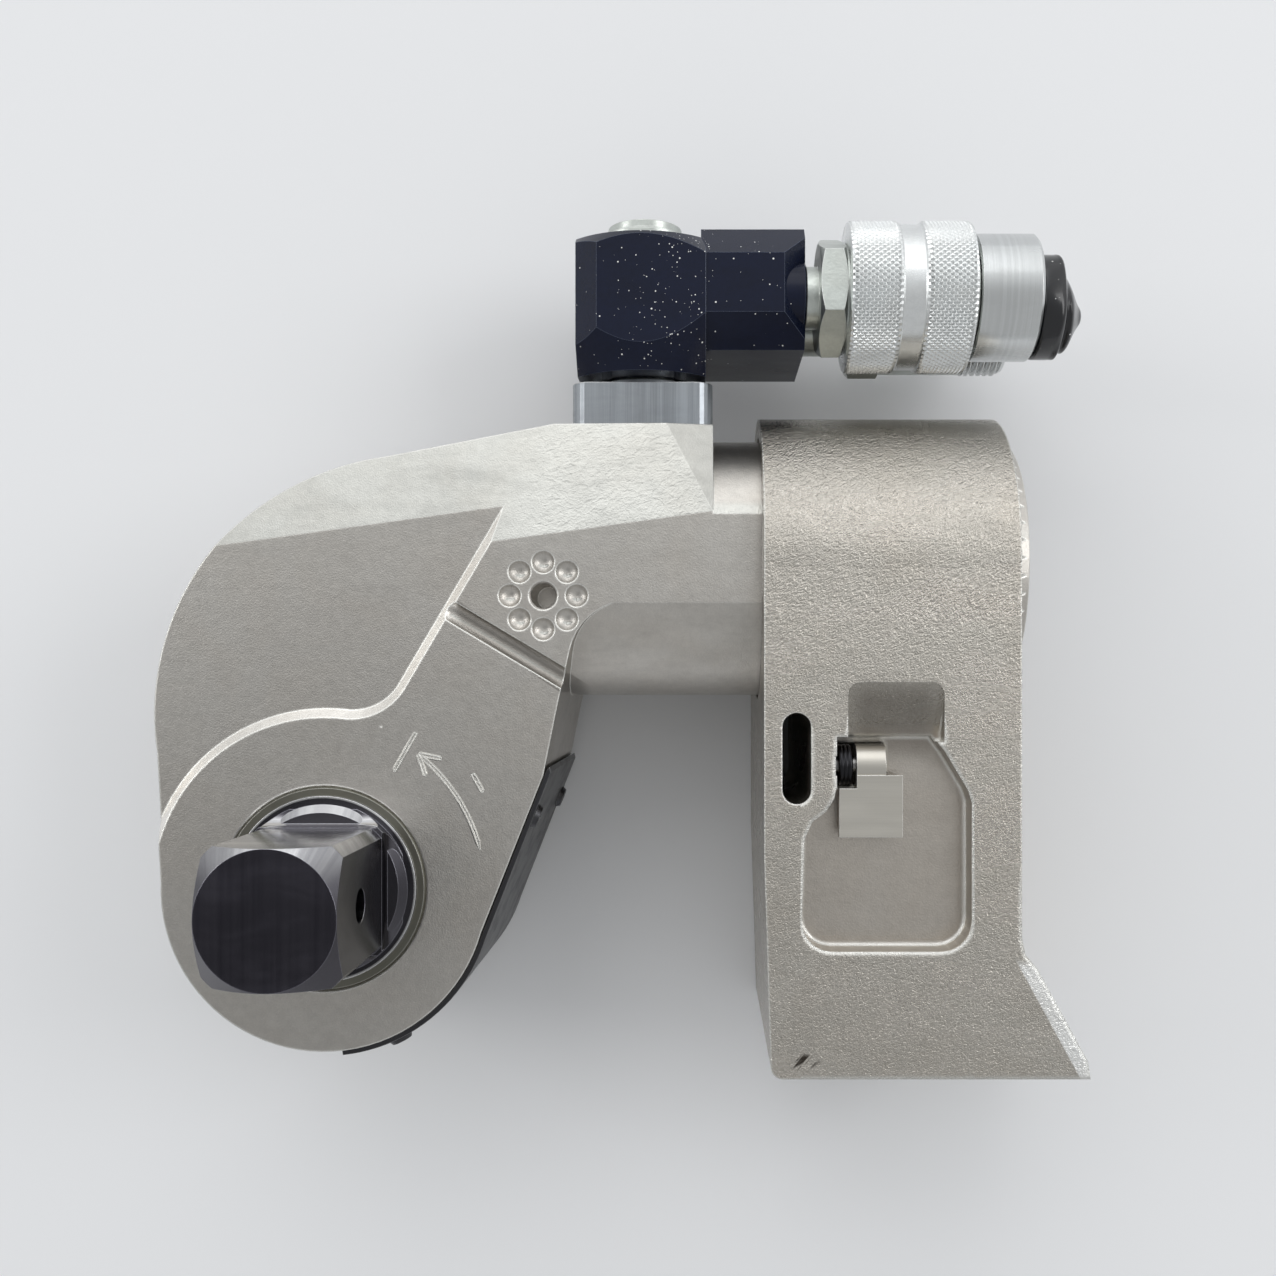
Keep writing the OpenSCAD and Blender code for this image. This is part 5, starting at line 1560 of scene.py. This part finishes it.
    def build(self) -> None:
        """Finishes the nodes of the couplings and adds the detailed pieces."""
        self.shop.dress(BRIGHT_HEXAGON, "front_fitting", "rear_fitting")
        self.shop.dress(BRIGHT_TURNED, "front_nose", "rear_poppet")
        self.shop.add(self.collar(), BRIGHT_KNURLED, "collar", Slot.BRIGHT, "front_collar")
        self.shop.add(self.plug(), PLUG_RUBBER, "plug", Slot.PLUG, "dust_plug")
        self.shop.add(self.threaded_nose(), BRIGHT_TURNED, "swivel", Slot.BRIGHT, "rear_nose")
        for fitting in ("front_fitting", "rear_fitting"):
            self.shop.add(self.boss(fitting), BlockSkin(), "swivel", Slot.ANODISED)


@dataclass(frozen=True)
class Lamp:
    """One square lamp that looks at the wrench."""

    name: str
    place: Point
    size: float
    power: float
    colour: Colour = (1.0, 1.0, 1.0)

    def build(self, target: Vector) -> None:
        """Hangs the lamp.

        Args:
            target: Point that it looks at.
        """
        data = bpy.data.lights.new(self.name, "AREA")
        data.shape = "SQUARE"
        data.size = self.size
        data.energy = self.power
        data.color = self.colour
        lamp = bpy.data.objects.new(self.name, data)
        lamp.location = self.place
        lamp.rotation_mode = "QUATERNION"
        lamp.rotation_quaternion = (target - Vector(self.place)).to_track_quat("-Z", "Y")
        bpy.context.scene.collection.objects.link(lamp)


@dataclass
class Studio:
    """Camera at the photograph's view, pale floor, soft lamps and sky."""

    image_px: float = 1276.0
    focal_px: float = 1260.0
    vanish_px: Flat = (700.0, 680.0)
    eye: Point = (0.0763, 0.0423, 0.255)
    sensor: float = 36.0
    floor_half: float = 3.0
    floor_colour: Colour = (0.82, 0.825, 0.835)
    shade_way: Point = (-0.32, -0.2, 0.93)
    backdrop: float = 0.85
    lamps: tuple[Lamp, ...] = (
        Lamp("key_softbox", (-0.1, 1.1, 0.8), 1.0, 2.8),
        Lamp("left_softbox", (-1.0, 0.3, 0.6), 0.5, 2.0),
        Lamp("right_softbox", (1.0, 0.3, 0.8), 0.6, 3.2),
    )

    def camera(self) -> None:
        """Sets up the camera, looking straight down the drive's axis."""
        data = bpy.data.cameras.new("photo_camera")
        data.sensor_width = self.sensor
        data.lens = self.sensor * self.focal_px / self.image_px
        middle = self.image_px / 2
        data.shift_x = (middle - self.vanish_px[0]) / self.image_px
        data.shift_y = (self.vanish_px[1] - middle) / self.image_px
        data.clip_start = 0.01
        camera = bpy.data.objects.new("photo_camera", data)
        camera.location = self.eye
        bpy.context.scene.collection.objects.link(camera)
        bpy.context.scene.camera = camera

    def floor(self, height: float) -> None:
        """Lays the floor.

        Args:
            height: Its Z.
        """
        half = self.floor_half
        corners = [(-half, -half, height), (half, -half, height), (half, half, height), (-half, half, height)]
        floor = new_piece("floor", corners, [(0, 1, 2, 3)])
        material = bpy.data.materials.new("pale_floor")
        material.use_nodes = True
        shader = material.node_tree.nodes["Principled BSDF"]
        shader.inputs["Base Color"].default_value = (*self.floor_colour, 1.0)
        shader.inputs["Roughness"].default_value = 0.8
        shader.inputs["Specular IOR Level"].default_value = 0.2
        floor.data.materials.append(material)
        floor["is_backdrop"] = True

    def sky(self) -> None:
        """Makes the sky: brighter towards the top of the picture, dim at the lower left."""
        world = bpy.data.worlds.new("studio_sky")
        world.use_nodes = True
        world.node_tree.nodes.clear()
        graph = Graph(world.node_tree)
        way = graph.add("TexCoord").outputs["Generated"]
        _, y, _ = graph.parts(way)
        rise = graph.remap(y, -0.1, 0.7, 0.55, 1.08)
        shade = graph.vector("DISTANCE", way, self.shade_way)
        level = graph.math("MULTIPLY", rise, graph.remap(shade, 0.02, 0.4, 0.06, 1.0))
        camera = graph.add("LightPath").outputs["Is Camera Ray"]
        level = graph.math("ADD", graph.math("MULTIPLY", camera, self.backdrop),
                           graph.math("MULTIPLY", graph.math("SUBTRACT", 1.0, camera), level))
        background = graph.add("Background")
        background.inputs["Color"].default_value = (0.97, 0.985, 1.0, 1.0)
        graph.feed(background.inputs["Strength"], level)
        graph.feed(graph.add("OutputWorld").inputs["Surface"], background.outputs[0])
        bpy.context.scene.world = world

    def build(self) -> None:
        """Builds the camera, the floor, the lamps and the sky."""
        low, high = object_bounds()
        self.camera()
        self.floor(low.z - 0.1 * MM)
        for lamp in self.lamps:
            lamp.build((low + high) / 2)
        self.sky()
        bpy.context.scene.view_settings.view_transform = "Standard"


def main() -> None:
    """Loads the frame, dresses it, builds the detailed pieces and the studio."""
    logging.basicConfig(level=logging.INFO, format="%(name)s: %(message)s")
    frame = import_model()
    shop = Workshop(frame, Effects())
    Studio().build()
    for part in (Head(shop), DriveTrain(shop), ReactionArm(shop), Swivel(shop), Couplings(shop)):
        part.build()
        LOG.info("built %s", type(part).__name__)


if __name__ == "__main__":
    main()
